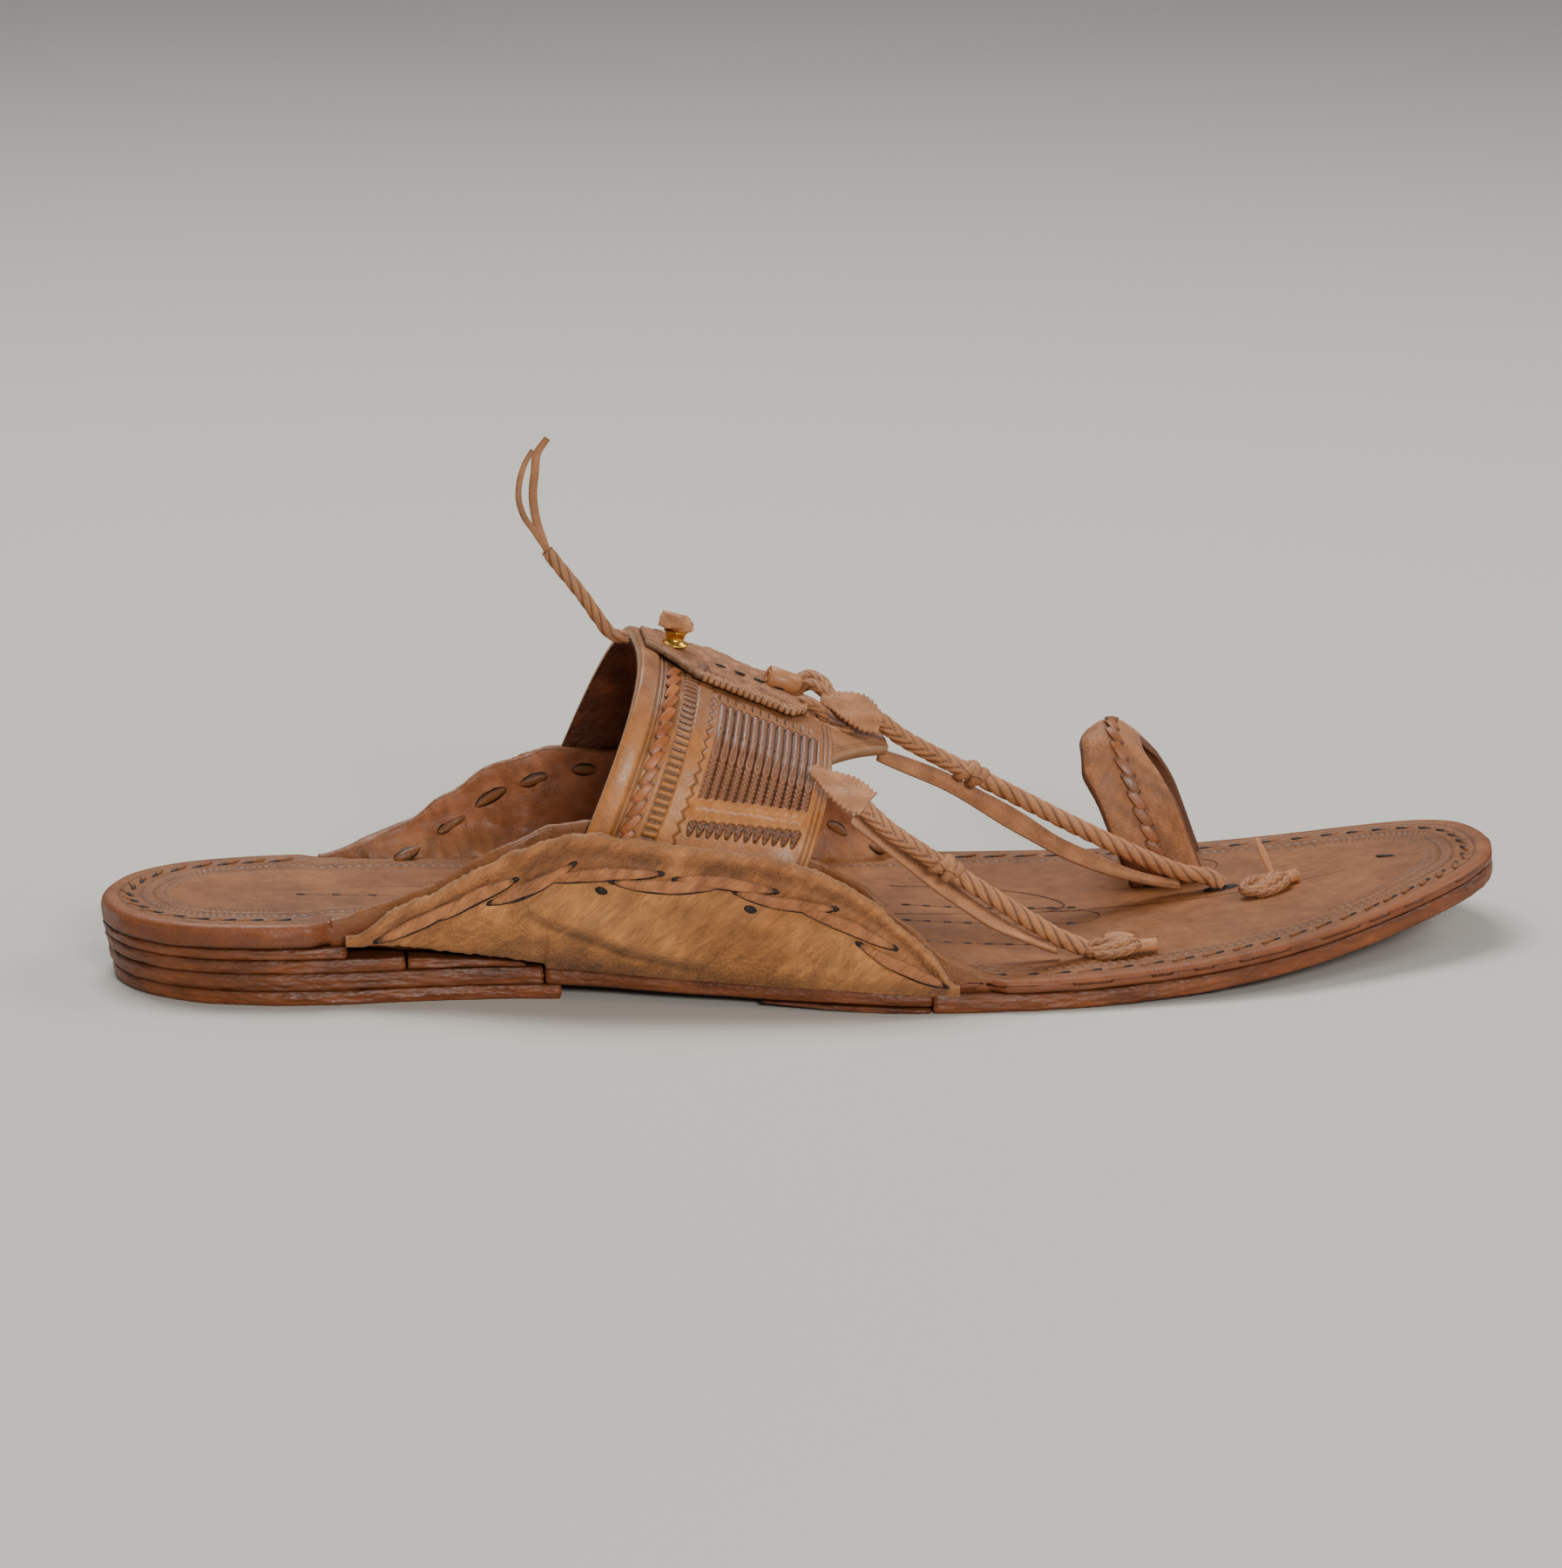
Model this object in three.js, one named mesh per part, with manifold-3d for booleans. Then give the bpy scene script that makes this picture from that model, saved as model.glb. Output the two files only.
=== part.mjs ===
// A right kolhapuri sandal in vegetable-tanned leather: a stacked flat sole, a footbed whose sides
// rise into two ears, laced side flaps over the ears, an arched instep band between them, a ridge
// strip with a brass stud, two plaited toe cords over flat straps, and a toe loop.
//
// Millimetres. +X runs from heel to toe, +Y to the big-toe side (medial), -Y to the little-toe side
// (lateral), +Z up. The floor is z = 0 and the origin is under the middle of the sandal.

import * as THREE from "three";
import { mergeVertices } from "three/addons/utils/BufferGeometryUtils.js";
import Module from "manifold-3d";

const wasm = await Module();
wasm.setup();

// ---- driving dimensions -------------------------------------------------------------------

const LENGTH = 283.6;
const HALF_LENGTH = LENGTH / 2;
const GAP = 0.3; // clearance between pieces that touch

const FORE_TOP = 6.2; // footbed height over the flat of the forefoot
const HEEL_RISE = 10.1; // how much higher the footbed stands at the heel
const FORE_UNDER = 3.6; // underside of the footbed at the forefoot
const UNDER_RISE = 8.0; // how much higher that underside is at the heel
const RISE_FROM = 40; // the rise towards the heel starts here
const RISE_TO = -92; // and is complete here
const SPRING_FROM = 38; // toe spring starts here
const TOE_SPRING = 12; // and lifts the toe's tip by this much

const HEEL_BREAST = -55.5; // where the outsole butts against the heel stack
const LIFT_END = -52.3; // front end of the heel's bottom lift
const SCARF = -82.5; // joint between the heel's upper layer and the waist filler
const MIDSOLE_END = -94.4; // front end of the thin heel midsole
const PATCH_END = 18.5; // front end of the patch under the ball
const FILLER_END = -14; // where the waist filler runs out

const FLAP_WALL = 1.8;
const EAR_WALL = 2.0;
const BAND_WALL = 2.0;
const EAR_FROM = -96; // the ears' rear ends
const EAR_TO = 30.6; // and their front ends
const EAR_FILLET = 4.2; // extra thickness where an ear bends up out of the footbed
const EAR_SINK = 2.4; // how far the footbed stays inside the sole's outline between the flaps
const SANDWICH = 3.7; // room for the instep band between an ear and its flap
const BULGE_HEIGHT = 12; // a flap reaches its full bulge this far over its lower edge

const STRAP_WALL = 1.3;
const CORD_RADIUS = 1.9;
const TAIL_RADIUS = 1.7;
const THONG_RADIUS = 0.8;

// The sole's outline: the lateral and medial edges at stations from heel to toe.
const OUTLINE = [
  { x: -139.6, lateral: -14.5, medial: 6.5 },
  { x: -135.0, lateral: -22.3, medial: 14.6 },
  { x: -126.0, lateral: -29.3, medial: 21.3 },
  { x: -112.0, lateral: -32.9, medial: 24.9 },
  { x: -97.0, lateral: -33.4, medial: 25.6 },
  { x: -80.0, lateral: -32.6, medial: 26.2 },
  { x: -62.0, lateral: -32.6, medial: 26.9 },
  { x: -48.0, lateral: -34.8, medial: 29.0 },
  { x: -32.0, lateral: -39.6, medial: 33.4 },
  { x: -16.0, lateral: -44.4, medial: 39.0 },
  { x: 0.0, lateral: -49.6, medial: 45.2 },
  { x: 15.0, lateral: -52.8, medial: 50.4 },
  { x: 30.0, lateral: -53.4, medial: 52.8 },
  { x: 46.0, lateral: -52.8, medial: 52.0 },
  { x: 62.0, lateral: -50.6, medial: 49.2 },
  { x: 78.0, lateral: -47.2, medial: 45.8 },
  { x: 92.0, lateral: -42.2, medial: 42.9 },
  { x: 105.0, lateral: -35.3, medial: 40.0 },
  { x: 117.0, lateral: -27.6, medial: 36.9 },
  { x: 127.0, lateral: -20.4, medial: 33.0 },
  { x: 134.5, lateral: -13.6, medial: 27.8 },
  { x: 139.4, lateral: -6.6, medial: 20.6 },
];
const HEEL_TIP_Y = -4;
const TOE_TIP_Y = 6.5;

// The ears and flaps: height of the ear's lip, and the flap's outer face there on either side.
const EARS = [
  { x: -97, lip: 16.9, lateral: -33.4, medial: 25.6 },
  { x: -88, lip: 18.8, lateral: -33.8, medial: 26.3 },
  { x: -80, lip: 21.7, lateral: -34.8, medial: 27.7 },
  { x: -72, lip: 26.2, lateral: -36.8, medial: 29.6 },
  { x: -64, lip: 30.9, lateral: -39.4, medial: 31.6 },
  { x: -56, lip: 34.3, lateral: -41.6, medial: 33.3 },
  { x: -48, lip: 35.9, lateral: -42.9, medial: 34.4 },
  { x: -40, lip: 34.8, lateral: -44.0, medial: 36.4 },
  { x: -28, lip: 33.4, lateral: -45.9, medial: 39.2 },
  { x: -16, lip: 32.0, lateral: -47.7, medial: 41.9 },
  { x: -4, lip: 28.8, lateral: -49.6, medial: 44.9 },
  { x: 6, lip: 23.5, lateral: -51.3, medial: 47.8 },
  { x: 14, lip: 16.7, lateral: -52.6, medial: 50.1 },
  { x: 21, lip: 10.2, lateral: -53.2, medial: 51.8 },
  { x: 27, lip: 7.4, lateral: -53.4, medial: 52.6 },
  { x: 31, lip: 6.9, lateral: -53.4, medial: 52.8 },
];
const FLAP_FROM = -94;
const FLAP_TO = 24;
const FLAP_BELOW_LIP = 1.2; // the flap's edge lies this far below the ear's lip
const FLAP_REAR_TOP = 13.9; // height of the flap's edge at its rear end
// The flap's lower edge at its rear end, where it stands clear of the heel stack.
const FLAP_REAR_LOW = [
  { x: -94, bottom: 12.2 },
  { x: -88, bottom: 12.5 },
  { x: -81, bottom: 11.8 },
  { x: -73, bottom: 10.4 },
  { x: -65, bottom: 9.2 },
  { x: HEEL_BREAST, bottom: 7.5 },
];
const FLAP_LOWEST = 0.9; // least height of a flap, at its front end

// The outsole's two faces and the patch under it.
const OUTSOLE = [
  { x: HEEL_BREAST, top: 6.1, bottom: 3.0 },
  { x: -40, top: 5.4, bottom: 2.5 },
  { x: -30, top: 4.9, bottom: 2.2 },
  { x: -12, top: 4.6, bottom: 1.8 },
  { x: 0, top: 4.6, bottom: 1.7 },
  { x: 12, top: 4.1, bottom: 1.5 },
  { x: PATCH_END + GAP, top: 3.8, bottom: 1.4 },
  { x: 26, top: 3.5, bottom: 0 },
  { x: SPRING_FROM, top: 3.3, bottom: 0 },
];
const PATCH = [
  { x: -14, top: 1.5, bottom: 1.1 },
  { x: 0, top: 1.4, bottom: 0.3 },
  { x: 7, top: 1.3, bottom: 0 },
  { x: PATCH_END, top: 1.1, bottom: 0 },
];
const FILLER_TOP = [
  { x: SCARF, top: 9.0 },
  { x: -70, top: 8.3 },
  { x: -60, top: 7.4 },
  { x: HEEL_BREAST - 3.5, top: 7.0 },
];

// The instep band: an arch whose section and lean change from its rear edge to its front edge.
// half: half width, middle: its centre in y, spring: height where the arch starts, crown: its top,
// fullness: exponent of the arch's superellipse, edge: x at EDGE_HEIGHT, lean: x gained per mm up.
const EDGE_HEIGHT = 34;
const REAR_EDGE = {
  half: 35.5, middle: -4.5, spring: 29, crown: 66.3, fullness: 2.8, edge: -48, lean: 0.418,
};
const FRONT_EDGE = {
  half: 44.2, middle: -2.6, spring: 22, crown: 49.9, fullness: 2.4, edge: -2.9, lean: 0.4,
};
const BAND_TUCK = 6.5; // how far the band's ends reach down between ear and flap

// ---- small helpers ------------------------------------------------------------------------

const clamp = THREE.MathUtils.clamp;
const lerp = THREE.MathUtils.lerp;

function smoothstep(x, from, to) {
  const t = clamp((x - from) / (to - from), 0, 1);
  return t * t * (3 - 2 * t);
}

// A smooth curve through one named column of a table, as a function of x.
function column(rows, name) {
  const slope = (i) => {
    const a = rows[Math.max(i - 1, 0)];
    const b = rows[Math.min(i + 1, rows.length - 1)];
    return (b[name] - a[name]) / (b.x - a.x);
  };
  return (x) => {
    const at = clamp(x, rows[0].x, rows[rows.length - 1].x);
    let i = 0;
    while (i < rows.length - 2 && at > rows[i + 1].x) i += 1;
    const [a, b] = [rows[i], rows[i + 1]];
    const width = b.x - a.x;
    const t = (at - a.x) / width;
    const h = t * t * (3 - 2 * t);
    const rise = (t - 2 * t * t + t * t * t) * slope(i) * width;
    const fall = (t * t * t - t * t) * slope(i + 1) * width;
    return a[name] * (1 - h) + b[name] * h + rise + fall;
  };
}

// The same column with straight lines between its rows.
function straight(rows, name) {
  return (x) => {
    const at = clamp(x, rows[0].x, rows[rows.length - 1].x);
    let i = 0;
    while (i < rows.length - 2 && at > rows[i + 1].x) i += 1;
    const [a, b] = [rows[i], rows[i + 1]];
    return lerp(a[name], b[name], (at - a.x) / (b.x - a.x));
  };
}

function steps(from, to, count) {
  return Array.from({ length: count + 1 }, (_, i) => lerp(from, to, i / count));
}

function toSolid(geometry) {
  const bare = geometry.clone();
  bare.deleteAttribute("normal");
  bare.deleteAttribute("uv");
  const merged = mergeVertices(bare, 1e-4);
  const mesh = new wasm.Mesh({
    numProp: 3,
    vertProperties: Float32Array.from(merged.attributes.position.array),
    triVerts: Uint32Array.from(merged.index.array),
  });
  return new wasm.Manifold(mesh);
}

function toGeometry(solid) {
  const mesh = solid.getMesh();
  const geometry = new THREE.BufferGeometry();
  const places = new Float32Array((mesh.vertProperties.length / mesh.numProp) * 3);
  for (let i = 0; i < places.length / 3; i += 1) {
    for (let k = 0; k < 3; k += 1) places[3 * i + k] = mesh.vertProperties[mesh.numProp * i + k];
  }
  geometry.setAttribute("position", new THREE.BufferAttribute(places, 3));
  geometry.setIndex(new THREE.BufferAttribute(Uint32Array.from(mesh.triVerts), 1));
  return geometry;
}

function join(...geometries) {
  const [first, ...rest] = geometries.map(toSolid);
  return toGeometry(rest.reduce((whole, next) => whole.add(next), first));
}

function common(a, b) {
  return toGeometry(toSolid(a).intersect(toSolid(b)));
}

// A closed wall between two grids of points of the same size: one face, the other, and the rim.
function wall(front, back) {
  const [rows, cols] = [front.length, front[0].length];
  const points = [...front.flat(), ...back.flat()];
  const at = (side, i, j) => side * rows * cols + i * cols + j;
  const index = [];
  const quad = (a, b, c, d) => index.push(a, b, c, a, c, d);
  for (let i = 0; i < rows - 1; i += 1) {
    for (let j = 0; j < cols - 1; j += 1) {
      quad(at(0, i, j), at(0, i + 1, j), at(0, i + 1, j + 1), at(0, i, j + 1));
      quad(at(1, i, j), at(1, i, j + 1), at(1, i + 1, j + 1), at(1, i + 1, j));
    }
    quad(at(0, i, 0), at(1, i, 0), at(1, i + 1, 0), at(0, i + 1, 0));
    quad(at(0, i, cols - 1), at(0, i + 1, cols - 1), at(1, i + 1, cols - 1), at(1, i, cols - 1));
  }
  for (let j = 0; j < cols - 1; j += 1) {
    quad(at(0, 0, j), at(0, 0, j + 1), at(1, 0, j + 1), at(1, 0, j));
    quad(at(0, rows - 1, j), at(1, rows - 1, j), at(1, rows - 1, j + 1), at(0, rows - 1, j + 1));
  }
  const geometry = new THREE.BufferGeometry().setFromPoints(points);
  geometry.setIndex(index);
  return facingOut(geometry);
}

// Turns a closed mesh so that its faces point outwards.
function facingOut(geometry) {
  const place = geometry.attributes.position;
  const index = geometry.index.array;
  const [a, b, c] = [new THREE.Vector3(), new THREE.Vector3(), new THREE.Vector3()];
  let volume = 0;
  for (let i = 0; i < index.length; i += 3) {
    a.fromBufferAttribute(place, index[i]);
    b.fromBufferAttribute(place, index[i + 1]);
    c.fromBufferAttribute(place, index[i + 2]);
    volume += a.dot(b.cross(c));
  }
  if (volume < 0) {
    for (let i = 0; i < index.length; i += 3) {
      [index[i + 1], index[i + 2]] = [index[i + 2], index[i + 1]];
    }
  }
  return geometry;
}

// A plain round tube with closed ends along a route.
function tube(route, radius, sides, count) {
  const section = new THREE.Shape();
  for (let i = 0; i < sides; i += 1) {
    const turn = (2 * Math.PI * i) / sides;
    const [x, y] = [radius * Math.cos(turn), radius * Math.sin(turn)];
    if (i === 0) section.moveTo(x, y);
    else section.lineTo(x, y);
  }
  const path = new THREE.CatmullRomCurve3(route.map((p) => new THREE.Vector3(...p)));
  return new THREE.ExtrudeGeometry(section, { steps: count, bevelEnabled: false, extrudePath: path });
}

// A flat strap along a route: width and twist are functions of how far along it is (0 to 1).
function ribbon(route, count, widthAt, twistAt, thickness) {
  const path = new THREE.CatmullRomCurve3(route.map((p) => new THREE.Vector3(...p)));
  const [front, back] = [[], []];
  for (const t of steps(0, 1, count)) {
    const middle = path.getPoint(t);
    const along = path.getTangent(t);
    const across = new THREE.Vector3(0, 0, 1).cross(along).normalize();
    across.applyAxisAngle(along, twistAt(t));
    const up = along.clone().cross(across).normalize();
    const rows = [-0.5, -0.25, 0, 0.25, 0.5].map((share) =>
      middle
        .clone()
        .addScaledVector(across, share * widthAt(t))
        .addScaledVector(up, 4 * share * share * 0.12 * widthAt(t)),
    );
    front.push(rows.map((p) => p.clone().addScaledVector(up, thickness / 2)));
    back.push(rows.map((p) => p.clone().addScaledVector(up, -thickness / 2)));
  }
  return wall(front, back);
}

// ---- the sole's shape ---------------------------------------------------------------------

const heelShare = (x) => smoothstep(-x, -RISE_FROM, -RISE_TO);
const toeSpring = (x) => TOE_SPRING * (Math.max(0, x - SPRING_FROM) / (HALF_LENGTH - SPRING_FROM)) ** 2;
const footbedTop = (x) => FORE_TOP + HEEL_RISE * heelShare(x) + toeSpring(x);
const footbedUnder = (x) => FORE_UNDER + UNDER_RISE * heelShare(x) + toeSpring(x);
const outsoleTop = (x) => straight(OUTSOLE, "top")(x) + toeSpring(x);
const outsoleBottom = (x) => straight(OUTSOLE, "bottom")(x) + toeSpring(x);
const lateralEdge = column(OUTLINE, "lateral");
const medialEdge = column(OUTLINE, "medial");

// The closed outline of the sole, moved inwards by a distance that may change along x.
function outline(inset = () => 0) {
  const ring = [
    [-HALF_LENGTH, HEEL_TIP_Y],
    ...OUTLINE.map((row) => [row.x, row.lateral]),
    [HALF_LENGTH, TOE_TIP_Y],
    ...OUTLINE.map((row) => [row.x, row.medial]).reverse(),
  ];
  const curve = new THREE.CatmullRomCurve3(
    ring.map(([x, y]) => new THREE.Vector3(x, y, 0)),
    true,
    "centripetal",
  );
  const middle = (x) => (lateralEdge(x) + medialEdge(x)) / 2;
  return curve.getPoints(132).slice(0, -1).map((p) => {
    const reach = p.y - middle(p.x);
    return new THREE.Vector2(p.x, p.y - Math.sign(reach) * Math.min(inset(p.x), Math.abs(reach) / 2));
  });
}

// A layer of the sole: the plan's outline, between two height profiles, from one x to another.
function layer(plan, from, to, topAt, bottomAt, count) {
  const upright = new THREE.ExtrudeGeometry(new THREE.Shape(plan), { depth: 60, bevelEnabled: false });
  upright.translate(0, 0, -10);
  const stations = steps(from, to, count);
  const side = [
    ...stations.map((x) => new THREE.Vector2(x, bottomAt(x))),
    ...stations.reverse().map((x) => new THREE.Vector2(x, topAt(x))),
  ];
  const across = new THREE.ExtrudeGeometry(new THREE.Shape(side), { depth: 160, bevelEnabled: false });
  across.rotateX(Math.PI / 2);
  across.translate(0, 80, 0);
  return common(upright, across);
}

const flat = (height) => () => height;
const BEYOND = HALF_LENGTH + 2; // past either end of the sole

function heelLayer(from, to, bottom, top) {
  return layer(outline(), from, to, flat(top), flat(bottom), 1);
}

function outsole() {
  const step = PATCH_END + GAP;
  const waist = layer(outline(), HEEL_BREAST, step + 0.01, outsoleTop, outsoleBottom, 14);
  const under = (x) => (x < SPRING_FROM ? 0 : toeSpring(x));
  const fore = layer(outline(), step, BEYOND, outsoleTop, under, 20);
  return join(waist, fore);
}

function outsolePatch() {
  const last = PATCH[PATCH.length - 1];
  return layer(outline(() => 0.2), PATCH[0].x, last.x, straight(PATCH, "top"), straight(PATCH, "bottom"), 6);
}

function waistFiller() {
  const fillerTop = straight(FILLER_TOP, "top");
  const floor = 6.2 + GAP;
  const rim = layer(outline(() => 0.2), SCARF, HEEL_BREAST - 3.5, fillerTop, flat(floor), 6);
  const seat = (x) => Math.max(x < HEEL_BREAST ? floor : 0, outsoleTop(x) + GAP);
  const core = layer(outline(() => 6), SCARF, FILLER_END, (x) => footbedUnder(x) - GAP, seat, 12);
  return join(rim, core);
}

// ---- footbed with its ears, and the flaps outside them ------------------------------------------

const lipHeight = column(EARS, "lip");
const lipFace = { lateral: column(EARS, "lateral"), medial: column(EARS, "medial") };
const soleFace = { lateral: lateralEdge, medial: medialEdge };
const outwards = { lateral: -1, medial: 1 };

// 1 where the instep band passes between an ear and its flap, 0 well away from it.
const bandShare = (x) => smoothstep(x, -64, -54) * (1 - smoothstep(x, -3, 9));

const flapFloor = (x) => {
  const onFiller = straight(FILLER_TOP, "top")(x);
  return (x < HEEL_BREAST ? onFiller : outsoleTop(x)) + GAP;
};

// The flap's outer face: it starts at the sole's outline and bulges to the lip's width.
function flapFace(side, x, z) {
  const share = clamp((z - flapFloor(x)) / BULGE_HEIGHT, 0, 1);
  const bulge = Math.sin((share * Math.PI) / 2);
  return lerp(soleFace[side](x), lipFace[side](x), bulge);
}

// The ear's outer face: inside the flap, with room for the band above the band's lower end.
function earFace(side, x, z) {
  const open = bandShare(x) * smoothstep(z, flapFloor(x) + 1, flapFloor(x) + 11);
  const inset = Math.max(FLAP_WALL + GAP, EAR_SINK) + SANDWICH * open;
  return flapFace(side, x, z) - outwards[side] * inset;
}

function ear(side) {
  const [outer, inner] = [[], []];
  for (const x of steps(EAR_FROM, EAR_TO, 34)) {
    const base = footbedUnder(x) + 0.4;
    const top = footbedTop(x);
    const lip = Math.max(lipHeight(x), top + 0.5);
    const heights = [base, top, ...steps(top, lip, 4).slice(1)];
    const root = EAR_FILLET * clamp((lip - top) / 5, 0.1, 1);
    const fillet = (z) => root * (1 - smoothstep(z, top, top + 6));
    outer.push(heights.map((z) => new THREE.Vector3(x, earFace(side, x, z), z)));
    inner.push(
      heights.map((z) => {
        const thick = EAR_WALL + fillet(z);
        return new THREE.Vector3(x, earFace(side, x, z) - outwards[side] * thick, z);
      }),
    );
  }
  return wall(outer, inner);
}

function insole() {
  const inset = (x) => EAR_SINK * smoothstep(x, -102, -97) * (1 - smoothstep(x, 29.5, 34));
  const plan = outline(inset);
  const board = layer(plan, -BEYOND, BEYOND, footbedTop, footbedUnder, 44);
  return join(board, ear("lateral"), ear("medial"));
}

function sideFlap(side) {
  const rearLow = straight(FLAP_REAR_LOW, "bottom");
  const [outer, inner] = [[], []];
  for (const x of steps(FLAP_FROM, FLAP_TO, 34)) {
    const low = x < HEEL_BREAST ? Math.max(flapFloor(x), rearLow(x)) : flapFloor(x);
    const rear = lerp(FLAP_REAR_TOP, lipHeight(x) - FLAP_BELOW_LIP, smoothstep(x, FLAP_FROM, FLAP_FROM + 10));
    const front = lerp(rear, low + FLAP_LOWEST, smoothstep(x, FLAP_TO - 5, FLAP_TO));
    const high = Math.max(front, low + FLAP_LOWEST);
    const heights = steps(low, high, 5);
    outer.push(heights.map((z) => new THREE.Vector3(x, flapFace(side, x, z), z)));
    inner.push(
      heights.map((z) => new THREE.Vector3(x, flapFace(side, x, z) - outwards[side] * FLAP_WALL, z)),
    );
  }
  return wall(outer, inner);
}

// ---- instep band, and what lies on it -----------------------------------------------------------

function bandSection(share) {
  const section = {};
  for (const name of Object.keys(REAR_EDGE)) section[name] = lerp(REAR_EDGE[name], FRONT_EDGE[name], share);
  return section;
}

// A point of the band: share runs from its rear edge (0) to its front edge (1), turn from the
// lateral spring (-1) over the crown (0) to the medial spring (1), raised outwards by offset.
function onBand(share, turn, offset = 0) {
  const s = bandSection(share);
  const angle = (turn * Math.PI) / 2;
  const power = 2 / s.fullness;
  const y = s.middle + Math.sign(turn) * (s.half + offset) * Math.abs(Math.sin(angle)) ** power;
  const z = s.spring + (s.crown - s.spring + offset) * Math.abs(Math.cos(angle)) ** power;
  return new THREE.Vector3(s.edge + s.lean * (z - EDGE_HEIGHT), y, z);
}

// The turn at which the band reaches a given y.
function turnAt(share, y) {
  const s = bandSection(share);
  const ratio = clamp(Math.abs(y - s.middle) / s.half, 0, 1) ** (s.fullness / 2);
  return (Math.sign(y - s.middle) * Math.asin(ratio)) / (Math.PI / 2);
}

function bandColumn(share, offset) {
  const turns = steps(-1, 1, 24);
  const arch = turns.map((turn) => onBand(share, turn, offset));
  const [first, last] = [arch[0], arch[arch.length - 1]];
  const foot = (end) => new THREE.Vector3(end.x, end.y, Math.min(lipHeight(end.x) - BAND_TUCK, end.z - 1));
  return [foot(first), ...arch, foot(last)];
}

// The tab that the band's crown sends forward over the toe cords: it starts inside the band's wall.
const TAB = { from: -3, to: 12, fall: 0.42, rootHalf: 24.5, tipHalf: 7.5, middle: -4, sink: 0.4 };

function tabPoint(reach, across, offset) {
  const half = lerp(TAB.rootHalf, TAB.tipHalf, Math.max(0, reach) / TAB.to);
  const y = TAB.middle + across * half;
  const point = onBand(1, turnAt(1, y), offset - TAB.sink);
  point.x += reach;
  point.z -= TAB.fall * reach;
  return point;
}

function instepBand() {
  const shares = steps(0, 1, 7);
  const arch = wall(
    shares.map((share) => bandColumn(share, 0)),
    shares.map((share) => bandColumn(share, -BAND_WALL)),
  );
  const tabRow = (reach, offset) => steps(-1, 1, 8).map((across) => tabPoint(reach, across, offset));
  const tabFace = (offset) => steps(TAB.from, TAB.to, 5).map((reach) => tabRow(reach, offset));
  const tab = wall(tabFace(0), tabFace(-BAND_WALL));
  return join(arch, tab);
}

const STRIP = { from: 0.02, to: 0.86, lateral: -19.5, medial: 5.0, wall: 1.3 };

function ridgeStrip() {
  const shares = steps(STRIP.from, STRIP.to, 10);
  const face = (offset) =>
    shares.map((share) =>
      steps(STRIP.lateral, STRIP.medial, 6).map((y) => {
        const end = 1 - 0.35 * (1 - smoothstep(share, STRIP.from, STRIP.from + 0.12));
        const middle = (STRIP.lateral + STRIP.medial) / 2;
        return onBand(share, turnAt(share, middle + (y - middle) * end), offset);
      }),
    );
  return wall(face(GAP + STRIP.wall), face(GAP + 0.1));
}

// Height of the ridge strip's top face near the crown, as a function of x.
const stripTop = (x) => {
  const share = clamp((x - onBand(0, 0).x) / (onBand(1, 0).x - onBand(0, 0).x), 0, 1);
  return onBand(share, 0, GAP + STRIP.wall).z;
};

const STUD = { x: -26.8, y: -8.0 };

// A brass eyelet barrel with a flange, standing on the strip.
function studBarrel() {
  const profile = [
    [0, 0],
    [2.9, 0],
    [2.9, 0.5],
    [2.2, 0.9],
    [2.1, 2.3],
    [2.6, 2.9],
    [0, 2.9],
  ].map(([r, z]) => new THREE.Vector2(r, z));
  const barrel = new THREE.LatheGeometry(profile, 20);
  barrel.rotateX(Math.PI / 2);
  barrel.translate(STUD.x, STUD.y, stripTop(STUD.x) + 1.5);
  return barrel;
}

// A squat button of leather on the barrel.
function studCap() {
  const profile = [
    [0, 0],
    [2.7, 0],
    [3.2, 1.2],
    [2.9, 3.2],
    [0, 4.0],
  ].map(([r, z]) => new THREE.Vector2(r, z));
  const cap = new THREE.LatheGeometry(profile, 14);
  cap.rotateX(Math.PI / 2);
  cap.rotateY(0.16);
  cap.translate(STUD.x + 0.5, STUD.y, stripTop(STUD.x) + 5.2);
  return cap;
}

// A short roll of leather strip lying on the ridge.
function ridgeRoll() {
  const roll = new THREE.CylinderGeometry(2.0, 2.1, 7.0, 14);
  roll.rotateZ(Math.PI / 2);
  roll.rotateY(0.4);
  roll.translate(-5.6, -5.4, stripTop(-5.6) + 3.1);
  return roll;
}

// ---- cords, straps and knots --------------------------------------------------------------------

const CORD_UPPER = [
  [18.2, -5.8, 44.6],
  [23.9, -5.0, 41.4],
  [34.8, -3.5, 35.3],
  [44.5, -2.0, 29.8],
  [56.8, 0.0, 22.9],
  [69.2, 2.0, 16.4],
  [78.0, 3.8, 12.4],
  [83.6, 5.0, 11.0],
];
const CORD_LOWER = [
  [7.0, -42.2, 38.6],
  [11.0, -42.7, 34.9],
  [16.3, -43.1, 31.1],
  [21.3, -43.0, 27.7],
  [29.3, -42.2, 22.2],
  [38.8, -40.8, 15.6],
  [45.4, -39.4, 11.2],
  [49.6, -38.2, 9.1],
];
const STRAP_UPPER = [
  [13.9, -4.6, 40.6],
  [20.4, -4.4, 37.9],
  [27.5, -3.6, 34.6],
  [34.7, -2.4, 30.2],
  [44.4, -1.2, 23.9],
  [51.9, -0.2, 19.0],
  [61.9, 1.4, 14.1],
  [69.4, 3.0, 11.3],
  [76.0, 4.6, 9.4],
];
const STRAP_LOWER = [
  [4.4, -39.8, 36.4],
  [9.6, -39.6, 32.4],
  [15.4, -39.4, 27.6],
  [21.3, -39.0, 22.8],
  [27.2, -38.5, 18.0],
  [33.1, -38.0, 13.8],
  [39.1, -37.6, 10.6],
  [43.4, -37.4, 8.8],
];

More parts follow.
